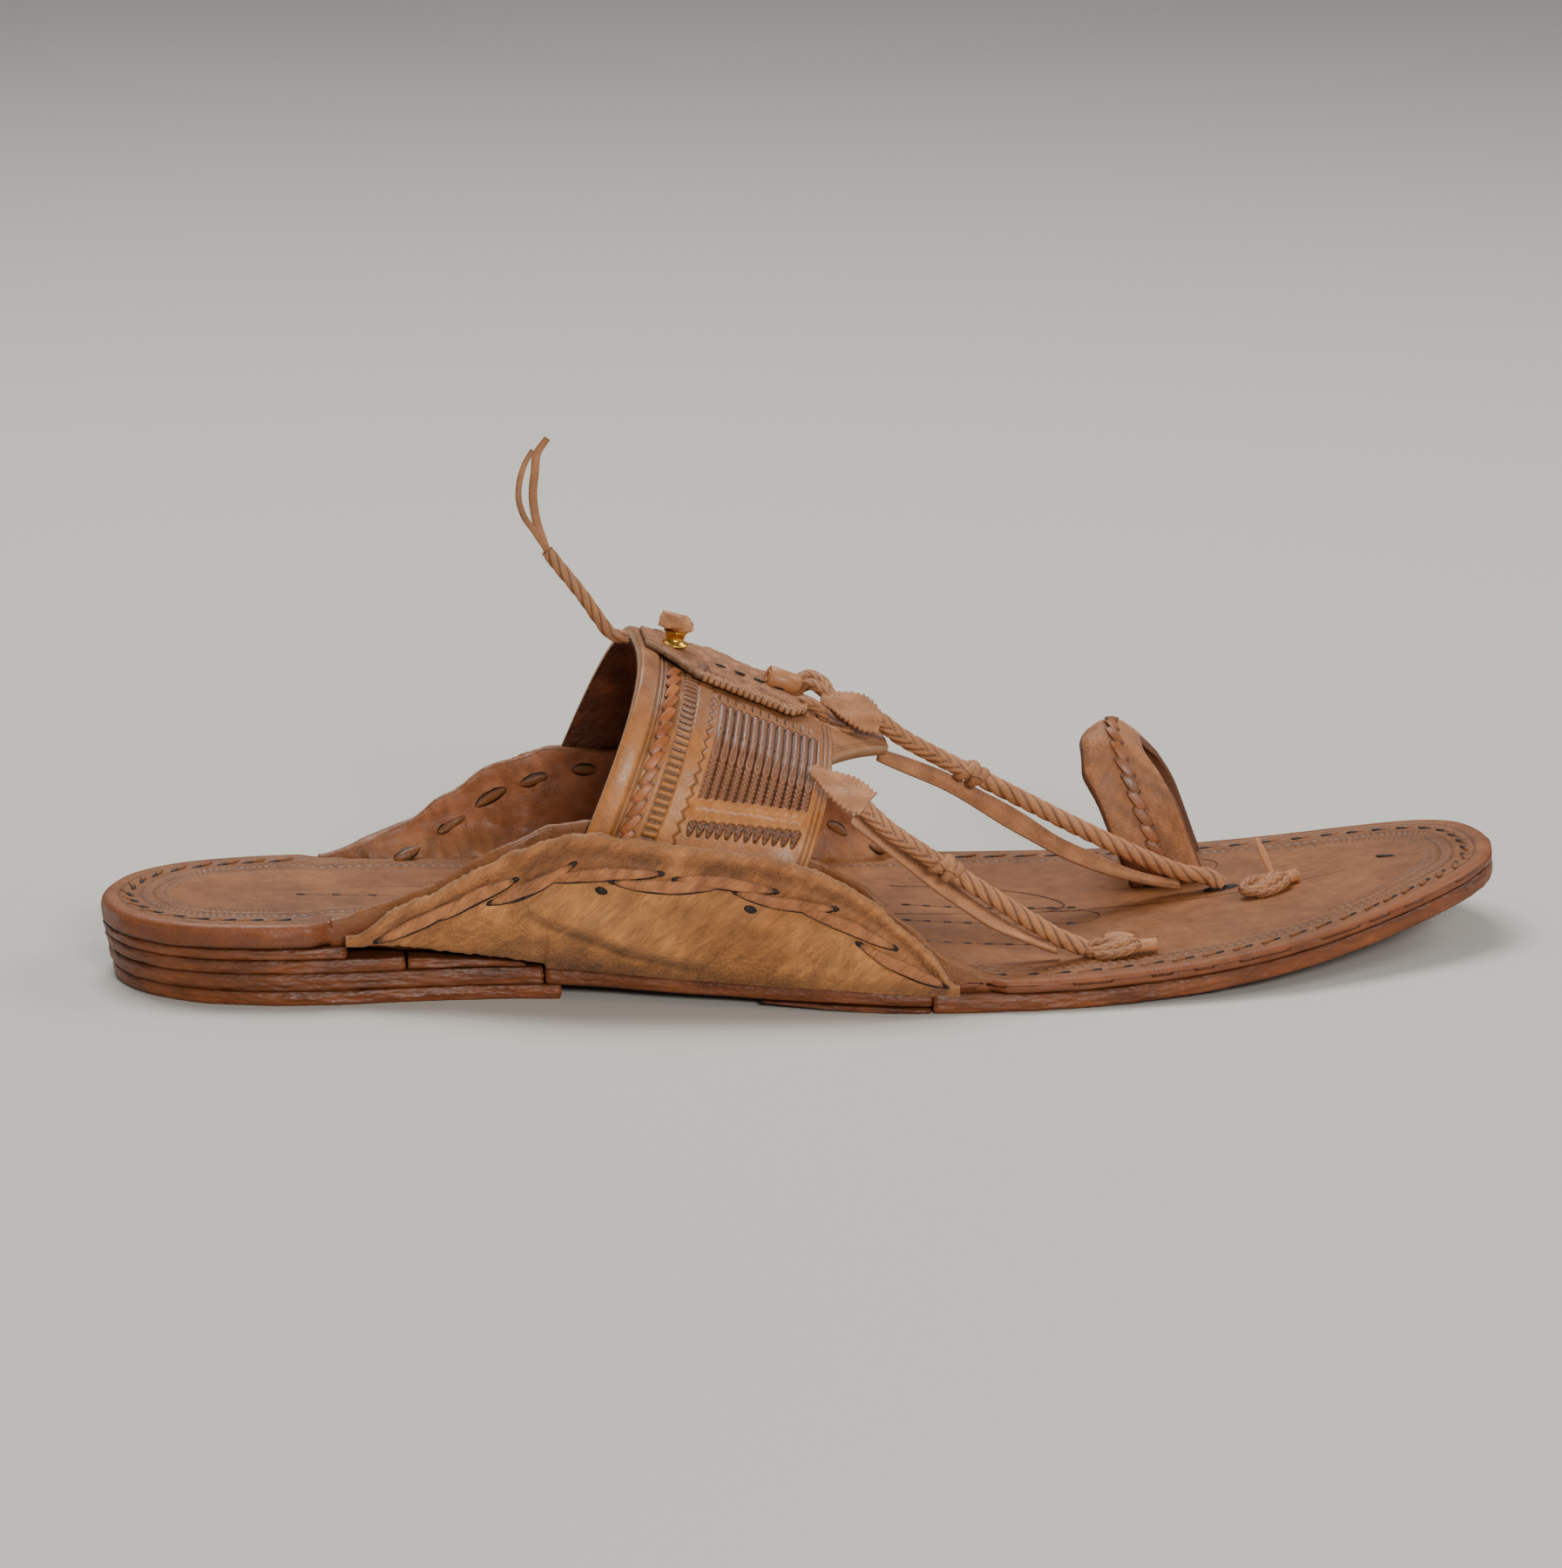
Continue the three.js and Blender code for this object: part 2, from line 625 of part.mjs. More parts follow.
const strapWidth = (t) => lerp(2.8, 4.2, Math.sin(Math.PI * clamp(t, 0, 1)) ** 0.8);

function flatStrap(route, twist) {
  return ribbon(route, 13, strapWidth, () => twist, STRAP_WALL);
}

// A leaf cut from thin leather: it lies on the band's front edge and wraps the head of a cord.
function leaf(route, width, twist) {
  const shape = (t) => width * clamp(2.6 * Math.sin(Math.PI * clamp(0.06 + 0.88 * t, 0, 1)), 0.35, 1);
  return ribbon(route, 8, shape, () => twist, 1.2);
}

const LEAF_UPPER = [
  [1.8, -9.6, 53.4],
  [5.6, -10.2, 52.2],
  [9.8, -10.4, 50.6],
  [15.0, -10.2, 48.4],
];
const LEAF_LOWER = [
  [-4.2, -37.8, 46.6],
  [-0.6, -39.4, 44.6],
  [3.4, -41.8, 42.8],
  [7.4, -44.0, 41.0],
];

// The toe loop: a broad strap arched over the big toe from one slot in the footbed to another.
// slant: how much farther forward its crown (and twice as much its medial side) stands,
// curl: how far its edges bend down at the crown.
const LOOP = {
  lateral: 12.6, medial: 37.5, crown: 40.0, width: 14.2,
  footX: 77.4, crownX: 64.4, medialX: 80, slant: 1.8, curl: 3.8,
};

function toeLoop() {
  const [outer, inner] = [[], []];
  const middle = (LOOP.lateral + LOOP.medial) / 2;
  const half = (LOOP.medial - LOOP.lateral) / 2;
  for (const turn of steps(0, Math.PI, 22)) {
    const up = Math.sin(turn) ** 0.72;
    const side = -Math.sign(Math.cos(turn)) * Math.abs(Math.cos(turn)) ** 0.8;
    const foot = side < 0 ? LOOP.footX : LOOP.medialX;
    const x = lerp(foot, LOOP.crownX + LOOP.slant * (side + 1), up);
    const width = LOOP.width * (1.04 - 0.2 * smoothstep(up, 0.8, 1));
    const floor = footbedTop(x) + GAP + 0.25;
    const put = (offset) =>
      steps(-0.5, 0.5, 4).map((share) => {
        const along = x + share * width;
        const dip = LOOP.curl * (2 * share) ** 2 * smoothstep(up, 0.5, 1);
        const z = Math.max(floor + (LOOP.crown - floor + offset) * up - dip, footbedTop(along) + GAP);
        return new THREE.Vector3(along, middle + side * (half + offset), z);
      });
    outer.push(put(0));
    inner.push(put(-1.8));
  }
  return wall(outer, inner);
}

// A knotted thong lying on the footbed: a lump, a short rolled peg at one end and a thin tail.
function footbedKnot(at, heading, tailTo) {
  const height = footbedTop(at.x) + GAP;
  const lump = new THREE.SphereGeometry(1, 14, 8);
  lump.scale(5.2, 3.4, 2.0);
  lump.translate(0, 0, 2.0);
  const peg = new THREE.CylinderGeometry(1.35, 1.35, 7.0, 10);
  peg.rotateZ(Math.PI / 2);
  peg.translate(6.4, 0, 2.2);
  const tail = ribbon(tailTo, 4, (t) => lerp(2.6, 1.2, t), () => 0, 0.9);
  const knot = join(lump, peg, tail);
  const slope = -Math.atan2(footbedTop(at.x + 5) - footbedTop(at.x - 5), 10);
  knot.rotateY(slope);
  knot.rotateZ(heading);
  knot.translate(at.x, at.y, height + 0.15);
  return knot;
}

const LATERAL_KNOT = { x: 56.4, y: -38.4 };
const CENTRAL_KNOT = { x: 93.6, y: -3.4 };

// Loops of plait bunched up in front of the ridge strip.
function ridgeKnot() {
  const lump = new THREE.SphereGeometry(1, 12, 8);
  lump.scale(2.4, 4.6, 2.2);
  lump.rotateY(0.45);
  lump.translate(2.0, -2.0, 54.4);
  return lump;
}

const TAIL_BRAID = [
  [-36.0, -4.0, 66.0],
  [-39.4, -4.0, 66.8],
  [-42.0, -4.0, 70.0],
  [-44.8, -4.0, 74.2],
  [-47.6, -4.0, 77.9],
  [-50.2, -4.0, 81.2],
  [-52.2, -4.0, 84.0],
  [-53.9, -4.0, 87.2],
];
const TAIL_THONGS = {
  tail_thong_rear: [
    [-54.9, -5.2, 88.4],
    [-56.8, -5.4, 91.2],
    [-57.8, -5.0, 94.6],
    [-57.6, -4.6, 98.0],
    [-56.6, -4.4, 101.4],
    [-55.0, -4.6, 104.4],
  ],
  tail_thong_front: [
    [-54.2, -2.8, 88.4],
    [-55.2, -2.4, 91.6],
    [-55.6, -2.4, 95.4],
    [-55.2, -2.8, 99.6],
    [-54.0, -3.4, 103.4],
    [-52.0, -4.0, 106.6],
  ],
};

// ---- materials and assembly ---------------------------------------------------------------------

function leather(color, roughness = 0.6) {
  return new THREE.MeshStandardMaterial({ color, roughness, metalness: 0 });
}

const FOOTBED = leather(0x8a5a3a, 0.55);
const SOLE_EDGE = leather(0x7c4122, 0.5);
const FLAP = leather(0xa87448, 0.8);
const BAND = leather(0xa9703f, 0.4);
const TRIM = leather(0xb98a67, 0.75);
const BRASS = new THREE.MeshStandardMaterial({ color: 0xd9a441, roughness: 0.25, metalness: 1 });

const sandal = new THREE.Group();

function place(name, geometry, material) {
  const mesh = new THREE.Mesh(geometry, material);
  mesh.name = name;
  sandal.add(mesh);
}

place("insole", insole(), FOOTBED);
place("outsole", outsole(), SOLE_EDGE);
place("outsole_patch", outsolePatch(), SOLE_EDGE);
place("heel_lift", heelLayer(-BEYOND, LIFT_END, 0, 2.6), SOLE_EDGE);
place("heel_layer_low", heelLayer(-BEYOND, HEEL_BREAST - GAP, 2.9, 6.2), SOLE_EDGE);
place("heel_layer_high", heelLayer(-BEYOND, SCARF - GAP, 6.5, 9.0), SOLE_EDGE);
place("heel_midsole", heelLayer(-BEYOND, MIDSOLE_END, 9.3, 11.3), SOLE_EDGE);
place("waist_filler", waistFiller(), SOLE_EDGE);
place("flap_lateral", sideFlap("lateral"), FLAP);
place("flap_medial", sideFlap("medial"), FLAP);
place("instep_band", instepBand(), BAND);
place("ridge_strip", ridgeStrip(), TRIM);
place("stud_barrel", studBarrel(), BRASS);
place("stud_cap", studCap(), TRIM);
place("ridge_roll", ridgeRoll(), TRIM);
place("ridge_knot", ridgeKnot(), TRIM);
place("leaf_upper", leaf(LEAF_UPPER, 10, 0.5), TRIM);
place("leaf_lower", leaf(LEAF_LOWER, 8, 0.9), TRIM);
place("cord_upper", tube(CORD_UPPER, CORD_RADIUS, 8, 19), TRIM);
place("cord_lower", tube(CORD_LOWER, CORD_RADIUS, 8, 16), TRIM);
place("strap_upper", flatStrap(STRAP_UPPER, 0.5), TRIM);
place("strap_lower", flatStrap(STRAP_LOWER, 0.6), TRIM);
place("toe_loop", toeLoop(), TRIM);
place("knot_lateral", footbedKnot(LATERAL_KNOT, 0, [[0, 1, 3], [0.5, 5, 4.4], [2, 9.5, 4.6]]), TRIM);
place("knot_central", footbedKnot(CENTRAL_KNOT, 0.62, [[1, 2, 2.4], [2.6, 8, 5], [0.6, 12, 10]]), TRIM);
place("tail_braid", tube(TAIL_BRAID, TAIL_RADIUS, 8, 12), TRIM);
for (const [name, route] of Object.entries(TAIL_THONGS)) {
  place(name, tube(route, THONG_RADIUS, 8, 10), TRIM);
}

export default sandal;
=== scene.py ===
"""The looks of a right kolhapuri sandal in vegetable-tanned leather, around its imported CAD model.

Lengths are in millimetres until a mesh is made. +X runs from heel to toe, +Y to the medial side,
-Y to the lateral side and +Z up, as in the CAD model.
"""

import math

import bpy
import numpy as np
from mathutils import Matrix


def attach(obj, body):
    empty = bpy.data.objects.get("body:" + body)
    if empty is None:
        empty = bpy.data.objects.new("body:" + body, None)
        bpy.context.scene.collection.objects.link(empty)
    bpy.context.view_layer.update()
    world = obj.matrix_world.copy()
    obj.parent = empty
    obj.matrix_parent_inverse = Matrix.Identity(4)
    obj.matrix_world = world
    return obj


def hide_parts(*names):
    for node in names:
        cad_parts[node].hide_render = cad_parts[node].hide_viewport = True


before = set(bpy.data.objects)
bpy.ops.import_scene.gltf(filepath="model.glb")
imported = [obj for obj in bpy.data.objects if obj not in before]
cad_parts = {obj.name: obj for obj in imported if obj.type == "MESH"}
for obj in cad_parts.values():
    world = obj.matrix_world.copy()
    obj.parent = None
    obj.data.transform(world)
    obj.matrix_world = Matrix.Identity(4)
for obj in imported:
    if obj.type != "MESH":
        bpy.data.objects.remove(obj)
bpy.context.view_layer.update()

MM = 0.001
HALF_LENGTH = 141.8

# ---- the same driving dimensions as the CAD model -------------------------------------------

FORE_TOP, HEEL_RISE = 6.2, 10.1
FORE_UNDER, UNDER_RISE = 3.6, 8.0
RISE_FROM, RISE_TO = 40.0, -92.0
SPRING_FROM, TOE_SPRING = 38.0, 12.0
HEEL_BREAST, LIFT_END, SCARF = -55.5, -52.3, -82.5
MIDSOLE_END, PATCH_END, FILLER_END = -94.4, 18.5, -14.0
FLAP_WALL, EAR_WALL, BAND_WALL = 1.8, 2.0, 2.0
EAR_SINK, SANDWICH, BULGE_HEIGHT = 2.4, 3.7, 12.0
FLAP_FROM, FLAP_TO, FLAP_BELOW_LIP = -94.0, 24.0, 1.2
EDGE_HEIGHT, BAND_TUCK, GAP = 34.0, 6.5, 0.3

# x, lateral edge, medial edge
OUTLINE = [
    (-139.6, -14.5, 6.5), (-135.0, -22.3, 14.6), (-126.0, -29.3, 21.3), (-112.0, -32.9, 24.9),
    (-97.0, -33.4, 25.6), (-80.0, -32.6, 26.2), (-62.0, -32.6, 26.9), (-48.0, -34.8, 29.0),
    (-32.0, -39.6, 33.4), (-16.0, -44.4, 39.0), (0.0, -49.6, 45.2), (15.0, -52.8, 50.4),
    (30.0, -53.4, 52.8), (46.0, -52.8, 52.0), (62.0, -50.6, 49.2), (78.0, -47.2, 45.8),
    (92.0, -42.2, 42.9), (105.0, -35.3, 40.0), (117.0, -27.6, 36.9), (127.0, -20.4, 33.0),
    (134.5, -13.6, 27.8), (139.4, -6.6, 20.6),
]
HEEL_TIP_Y, TOE_TIP_Y = -4.0, 6.5

# x, height of the ear's lip, lateral flap's outer face there, medial flap's outer face there
EARS = [
    (-97, 16.9, -33.4, 25.6), (-88, 18.8, -33.8, 26.3), (-80, 21.7, -34.8, 27.7),
    (-72, 26.2, -36.8, 29.6), (-64, 30.9, -39.4, 31.6), (-56, 34.3, -41.6, 33.3),
    (-48, 35.9, -42.9, 34.4), (-40, 34.8, -44.0, 36.4), (-28, 33.4, -45.9, 39.2),
    (-16, 32.0, -47.7, 41.9), (-4, 28.8, -49.6, 44.9), (6, 23.5, -51.3, 47.8),
    (14, 16.7, -52.6, 50.1), (21, 10.2, -53.2, 51.8), (27, 7.4, -53.4, 52.6),
    (31, 6.9, -53.4, 52.8),
]
# x, top, bottom
OUTSOLE = [
    (HEEL_BREAST, 6.1, 3.0), (-40, 5.4, 2.5), (-30, 4.9, 2.2), (-12, 4.6, 1.8), (0, 4.6, 1.7),
    (12, 4.1, 1.5), (PATCH_END + GAP, 3.8, 1.4), (26, 3.5, 0), (SPRING_FROM, 3.3, 0),
]
PATCH = [(-14, 1.5, 1.1), (0, 1.4, 0.3), (7, 1.3, 0.0), (PATCH_END, 1.1, 0.0)]
FILLER_TOP = [(SCARF, 9.0), (-70, 8.3), (-60, 7.4), (HEEL_BREAST - 3.5, 7.0)]

# x, the flap's lower edge at its rear end, where it stands clear of the heel stack
FLAP_REAR_LOW = [(-94, 12.2), (-88, 12.5), (-81, 11.8), (-73, 10.4), (-65, 9.2), (HEEL_BREAST, 7.5)]

REAR_EDGE = dict(half=35.5, middle=-4.5, spring=29, crown=66.3, fullness=2.8, edge=-48, lean=0.418)
FRONT_EDGE = dict(half=44.2, middle=-2.6, spring=22, crown=49.9, fullness=2.4, edge=-2.9, lean=0.4)

# ---- maths ------------------------------------------------------------------------------------


def lerp(a, b, t):
    return a + (b - a) * t


def smooth(x, low, high):
    t = np.clip((x - low) / (high - low), 0, 1)
    return t * t * (3 - 2 * t)


def bump(x, centre, width):
    """1 at the centre, falling smoothly to 0 at about width away."""
    return np.exp(-(((x - centre) / (0.5 * width)) ** 2))


def column(rows, k):
    """A smooth curve through column k of a table, as a function of x."""
    table = np.array(rows, float)
    xs, ys = table[:, 0], table[:, k]
    low = np.maximum(np.arange(len(xs)) - 1, 0)
    high = np.minimum(np.arange(len(xs)) + 1, len(xs) - 1)
    slopes = (ys[high] - ys[low]) / (xs[high] - xs[low])

    def curve(x):
        at = np.clip(x, xs[0], xs[-1])
        i = np.clip(np.searchsorted(xs, at) - 1, 0, len(xs) - 2)
        width = xs[i + 1] - xs[i]
        t = (at - xs[i]) / width
        h = t * t * (3 - 2 * t)
        rise = (t - 2 * t**2 + t**3) * slopes[i] * width
        fall = (t**3 - t**2) * slopes[i + 1] * width
        return ys[i] * (1 - h) + ys[i + 1] * h + rise + fall

    return curve


def straight(rows, k):
    table = np.array(rows, float)
    return lambda x: np.interp(x, table[:, 0], table[:, k])


def wobble(seed, scale, *coords):
    """A smooth irregular wave between about -1 and 1, with features about as long as scale."""
    rng = np.random.default_rng(seed)
    total = 0
    for _ in range(7):
        way = rng.normal(size=len(coords))
        way *= rng.uniform(0.5, 1.6) / np.linalg.norm(way)
        phase = rng.uniform(0, 2 * math.pi)
        total = total + np.sin(sum(w * c for w, c in zip(way, coords)) * 2 * math.pi / scale + phase)
    return total / 3.2


def catmull(points, closed=False, per_span=24):
    """A centripetal Catmull-Rom curve through points."""
    p = np.array(points, float)
    if closed:
        p = np.vstack([p[-1], p, p[0], p[1]])
    else:
        p = np.vstack([2 * p[0] - p[1], p, 2 * p[-1] - p[-2]])
    out = []
    t = np.linspace(0, 1, per_span, endpoint=False)[:, None]
    for i in range(1, len(p) - 2):
        a, b, c, d = p[i - 1], p[i], p[i + 1], p[i + 2]
        d0, d1, d2 = (max(np.linalg.norm(v) ** 0.5, 1e-4) for v in (b - a, c - b, d - c))
        m1 = ((b - a) / d0 - (c - a) / (d0 + d1) + (c - b) / d1) * d1
        m2 = ((c - b) / d1 - (d - b) / (d1 + d2) + (d - c) / d2) * d1
        h = (t - 2 * t**2 + t**3) * m1 + (t**3 - t**2) * m2
        out.append(b * (1 - 3 * t**2 + 2 * t**3) + c * (3 * t**2 - 2 * t**3) + h)
    if not closed:
        out.append(p[-2][None])
    return np.vstack(out)


def resample(points, count, closed=False):
    """The same curve with evenly spaced points."""
    p = np.vstack([points, points[:1]]) if closed else np.asarray(points, float)
    s = np.concatenate([[0], np.cumsum(np.linalg.norm(np.diff(p, axis=0), axis=1))])
    at = np.linspace(0, s[-1], count + 1)[:-1] if closed else np.linspace(0, s[-1], count)
    return np.stack([np.interp(at, s, p[:, k]) for k in range(p.shape[1])], axis=1)


def arc_length(points):
    steps = np.linalg.norm(np.diff(points, axis=0), axis=1)
    return np.concatenate([[0], np.cumsum(steps)])


def unit(v):
    return v / np.maximum(np.linalg.norm(v, axis=-1, keepdims=True), 1e-9)


def tangents(points):
    return unit(np.gradient(points, axis=0))


def srgb(r, g, b):
    """A linear colour from the usual 0 to 255 values."""
    c = np.array([r, g, b]) / 255
    return np.where(c <= 0.04045, c / 12.92, ((c + 0.055) / 1.055) ** 2.4)


# ---- meshes -----------------------------------------------------------------------------------


def grid_faces(rows, cols, wrap_rows=False, wrap_cols=False):
    i = np.arange(rows if wrap_rows else rows - 1)
    j = np.arange(cols if wrap_cols else cols - 1)
    i, j = (g.ravel() for g in np.meshgrid(i, j, indexing="ij"))
    i2, j2 = (i + 1) % rows, (j + 1) % cols
    return np.stack([i * cols + j, i2 * cols + j, i2 * cols + j2, i * cols + j2], axis=1)


def make_mesh(name, verts, faces, material, tint, closed=True):
    """A smooth mesh with a colour at each point; a closed one is turned to face outwards."""
    verts = np.asarray(verts, float).reshape(-1, 3) * MM
    faces = [tuple(f) for f in faces]
    mesh = bpy.data.meshes.new(name)
    mesh.from_pydata(verts.tolist(), [], faces)
    mesh.update()
    if closed:
        mesh.calc_loop_triangles()
        tri = np.empty(len(mesh.loop_triangles) * 3, dtype=np.int32)
        mesh.loop_triangles.foreach_get("vertices", tri)
        a, b, c = verts[tri.reshape(-1, 3)].transpose(1, 0, 2)
        if np.einsum("ij,ij->i", a, np.cross(b, c)).sum() < 0:
            mesh.flip_normals()
    mesh.shade_smooth()
    colours = np.ones((len(verts), 4))
    colours[:, :3] = np.asarray(tint).reshape(-1, 3) if np.ndim(tint) > 1 else tint
    mesh.color_attributes.new("tint", "FLOAT_COLOR", "POINT")
    mesh.color_attributes["tint"].data.foreach_set("color", colours.astype(np.float32).ravel())
    mesh.materials.append(material)
    piece = bpy.data.objects.new(name, mesh)
    bpy.context.collection.objects.link(piece)
    return piece


def part(piece, slot, *nodes):
    """Rides the piece on the sandal and lets it stand for CAD nodes."""
    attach(piece, "root")
    if nodes:
        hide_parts(*nodes)
    return piece


class Batch:
    """Several small closed forms gathered into one mesh."""

    def __init__(self):
        self.verts, self.faces, self.tints, self.count = [], [], [], 0

    def add(self, verts, faces, tint):
        verts = np.asarray(verts, float).reshape(-1, 3)
        self.verts.append(verts)
        self.faces += [tuple(int(k) + self.count for k in f) for f in faces]
        tint = np.asarray(tint, float)
        self.tints.append(np.broadcast_to(tint, verts.shape) if tint.ndim == 1 else tint.reshape(-1, 3))
        self.count += len(verts)

    def strand(self, path, normal, width, thick, tint, sides=10, square=1.0):
        """A thong along a path: an oval section, its width square to the normal, with closed ends."""
        path = np.asarray(path, float)
        n = len(path)
        along = tangents(path)
        normal = np.broadcast_to(np.asarray(normal, float), path.shape)
        side = unit(np.cross(along, normal))
        up = np.cross(side, along)
        width = np.broadcast_to(width, n)[:, None, None]
        thick = np.broadcast_to(thick, n)[:, None, None]
        turn = np.linspace(0, 2 * math.pi, sides, endpoint=False)
        c = np.sign(np.cos(turn)) * np.abs(np.cos(turn)) ** square
        s = np.sign(np.sin(turn)) * np.abs(np.sin(turn)) ** square
        ring = side[:, None] * (c[None, :, None] * width / 2) + up[:, None] * (s[None, :, None] * thick / 2)
        verts = (path[:, None] + ring).reshape(-1, 3)
        faces = [tuple(f) for f in grid_faces(n, sides, wrap_cols=True)[:, ::-1]]
        verts = np.vstack([verts, path[0], path[-1]])
        for j in range(sides):
            k = (j + 1) % sides
            faces.append((n * sides, j, k))
            faces.append((n * sides + 1, (n - 1) * sides + k, (n - 1) * sides + j))
        tint = np.asarray(tint, float)
        if tint.ndim == 2:
            tint = np.vstack([np.repeat(tint, sides, axis=0), tint[0], tint[-1]])
        self.add(verts, faces, tint)

    def ball(self, centre, axes, tint, rows=8, cols=12):
        """An ellipsoid: axes are its three half axes as vectors."""
        lat = np.linspace(0, math.pi, rows + 1)[1:-1]
        lon = np.linspace(0, 2 * math.pi, cols, endpoint=False)
        la, lo = np.meshgrid(lat, lon, indexing="ij")
        a, b, c = (np.asarray(v, float) for v in axes)
        ring = (
            np.sin(la)[..., None] * np.cos(lo)[..., None] * a
            + np.sin(la)[..., None] * np.sin(lo)[..., None] * b
            + np.cos(la)[..., None] * c
        )
        verts = np.vstack([ring.reshape(-1, 3), c, -c]) + np.asarray(centre, float)
        m = rows - 1
        faces = [tuple(f) for f in grid_faces(m, cols, wrap_cols=True)]
        for j in range(cols):
            k = (j + 1) % cols
            faces.append((m * cols, j, k))
            faces.append((m * cols + 1, (m - 1) * cols + k, (m - 1) * cols + j))
        self.add(verts, faces, tint)

    def build(self, name, material, closed=True):
        return make_mesh(name, np.vstack(self.verts), self.faces, material, np.vstack(self.tints), closed)


def wall_mesh(name, front, back, material, tint_front, tint_back, rim=5):
    """A closed leather wall between two faces of points, with a rounded rim along both long sides."""
    rows, cols = front.shape[:2]
    tint_front = np.broadcast_to(tint_front, front.shape)
    tint_back = np.broadcast_to(tint_back, back.shape)
    tint_rim = np.broadcast_to(tint_back[:, -1:], (rows, rim, 3))
    turn = np.linspace(0, math.pi, rim + 2)[1:-1, None]

    def rounded(outer, inner, before):
        middle, half = (outer + inner) / 2, (outer - inner) / 2
        reach = unit(outer - before) * np.linalg.norm(half, axis=-1, keepdims=True)
        return middle[:, None] + half[:, None] * np.cos(turn) + reach[:, None] * np.sin(turn)

    last_rim = rounded(front[:, -1], back[:, -1], front[:, -2])
    first_rim = rounded(back[:, 0], front[:, 0], back[:, 1])
    verts = np.concatenate([front, last_rim, back[:, ::-1], first_rim], axis=1)
    tint = np.concatenate([tint_front, tint_rim, tint_back[:, ::-1], tint_rim], axis=1)
    total = verts.shape[1]
    faces = [tuple(f) for f in grid_faces(rows, total, wrap_cols=True)]
    for end in (0, rows - 1):
        start, back_end = end * total, end * total + 2 * cols + rim - 1
        caps = [(start + j, start + j + 1, back_end - 1 - j, back_end - j) for j in range(cols - 1)]
        caps.append(tuple(start + cols - 1 + k for k in range(rim + 2)))
        caps.append((*(back_end + k for k in range(rim + 1)), start))
        faces += caps if end == 0 else [cap[::-1] for cap in caps]
    return make_mesh(name, verts, faces, material, tint)


# ---- materials --------------------------------------------------------------------------------


def leather(name, roughness, grain, depth, mottle, streak=(1, 1, 1), lean=0.0, fuzz=0.0, coat=0.0):
    """Leather coloured by the mesh's tint: mottled, worn, and finely grained along a streak direction."""
    material = bpy.data.materials.new(name)
    material.use_nodes = True
    nodes, links = material.node_tree.nodes, material.node_tree.links
    shader = nodes["Principled BSDF"]
    shader.inputs["Specular IOR Level"].default_value = 0.5
    shader.inputs["Coat Weight"].default_value = coat
    shader.inputs["Coat Roughness"].default_value = 0.22
    shader.inputs["Sheen Weight"].default_value = fuzz
    shader.inputs["Sheen Roughness"].default_value = 0.4
    tint = nodes.new("ShaderNodeAttribute")
    tint.attribute_name = "tint"
    place = nodes.new("ShaderNodeTexCoord")
    stretch = nodes.new("ShaderNodeMapping")
    stretch.vector_type = "TEXTURE"
    stretch.inputs["Rotation"].default_value = (0, lean, 0)
    stretch.inputs["Scale"].default_value = streak
    links.new(place.outputs["Object"], stretch.inputs["Vector"])

    def noise(scale, detail, vector):
        node = nodes.new("ShaderNodeTexNoise")
        node.inputs["Scale"].default_value = scale
        node.inputs["Detail"].default_value = detail
        node.inputs["Roughness"].default_value = 0.62
        links.new(vector, node.inputs["Vector"])
        return node.outputs["Fac"]

    def ramp(source, low, high, start=0.32, stop=0.68):
        node = nodes.new("ShaderNodeMapRange")
        node.inputs["From Min"].default_value = start
        node.inputs["From Max"].default_value = stop
        node.inputs["To Min"].default_value = low
        node.inputs["To Max"].default_value = high
        links.new(source, node.inputs["Value"])
        return node.outputs["Result"]

    def math_node(operation, a, b):
        node = nodes.new("ShaderNodeMath")
        node.operation = operation
        links.new(a, node.inputs[0])
        links.new(b, node.inputs[1])
        return node.outputs[0]

    broad = noise(75, 5, place.outputs["Object"])
    patchy = noise(260, 4, stretch.outputs[0])
    fine = noise(grain * 0.5, 4, stretch.outputs[0])
    pores = nodes.new("ShaderNodeTexVoronoi")
    pores.inputs["Scale"].default_value = grain
    links.new(stretch.outputs[0], pores.inputs["Vector"])

    cloudy = ramp(broad, 1 - mottle, 1 + mottle * 0.7)
    grainy = ramp(fine, 1 - mottle * 0.7, 1 + mottle * 0.7)
    shade = math_node("MULTIPLY", cloudy, grainy)
    shade = math_node("MULTIPLY", shade, ramp(patchy, 1 - mottle * 0.8, 1 + mottle * 0.6))
    hue = nodes.new("ShaderNodeValToRGB")
    hue.color_ramp.elements[0].position = 0.38
    hue.color_ramp.elements[0].color = (1.0, 0.92, 0.82, 1)
    hue.color_ramp.elements[1].position = 0.62
    hue.color_ramp.elements[1].color = (1.0, 1.0, 1.0, 1)
    links.new(broad, hue.inputs["Fac"])
    tinted = nodes.new("ShaderNodeVectorMath")
    tinted.operation = "MULTIPLY"
    links.new(tint.outputs["Color"], tinted.inputs[0])
    links.new(hue.outputs["Color"], tinted.inputs[1])
    colour = nodes.new("ShaderNodeVectorMath")
    colour.operation = "SCALE"
    links.new(tinted.outputs[0], colour.inputs[0])
    links.new(shade, colour.inputs["Scale"])
    links.new(colour.outputs[0], shader.inputs["Base Color"])
    links.new(ramp(patchy, roughness - 0.08, roughness + 0.14), shader.inputs["Roughness"])

    relief = nodes.new("ShaderNodeBump")
    relief.inputs["Strength"].default_value = depth
    relief.inputs["Distance"].default_value = 0.0005
    links.new(math_node("ADD", fine, pores.outputs["Distance"]), relief.inputs["Height"])
    links.new(relief.outputs["Normal"], shader.inputs["Normal"])
    return material


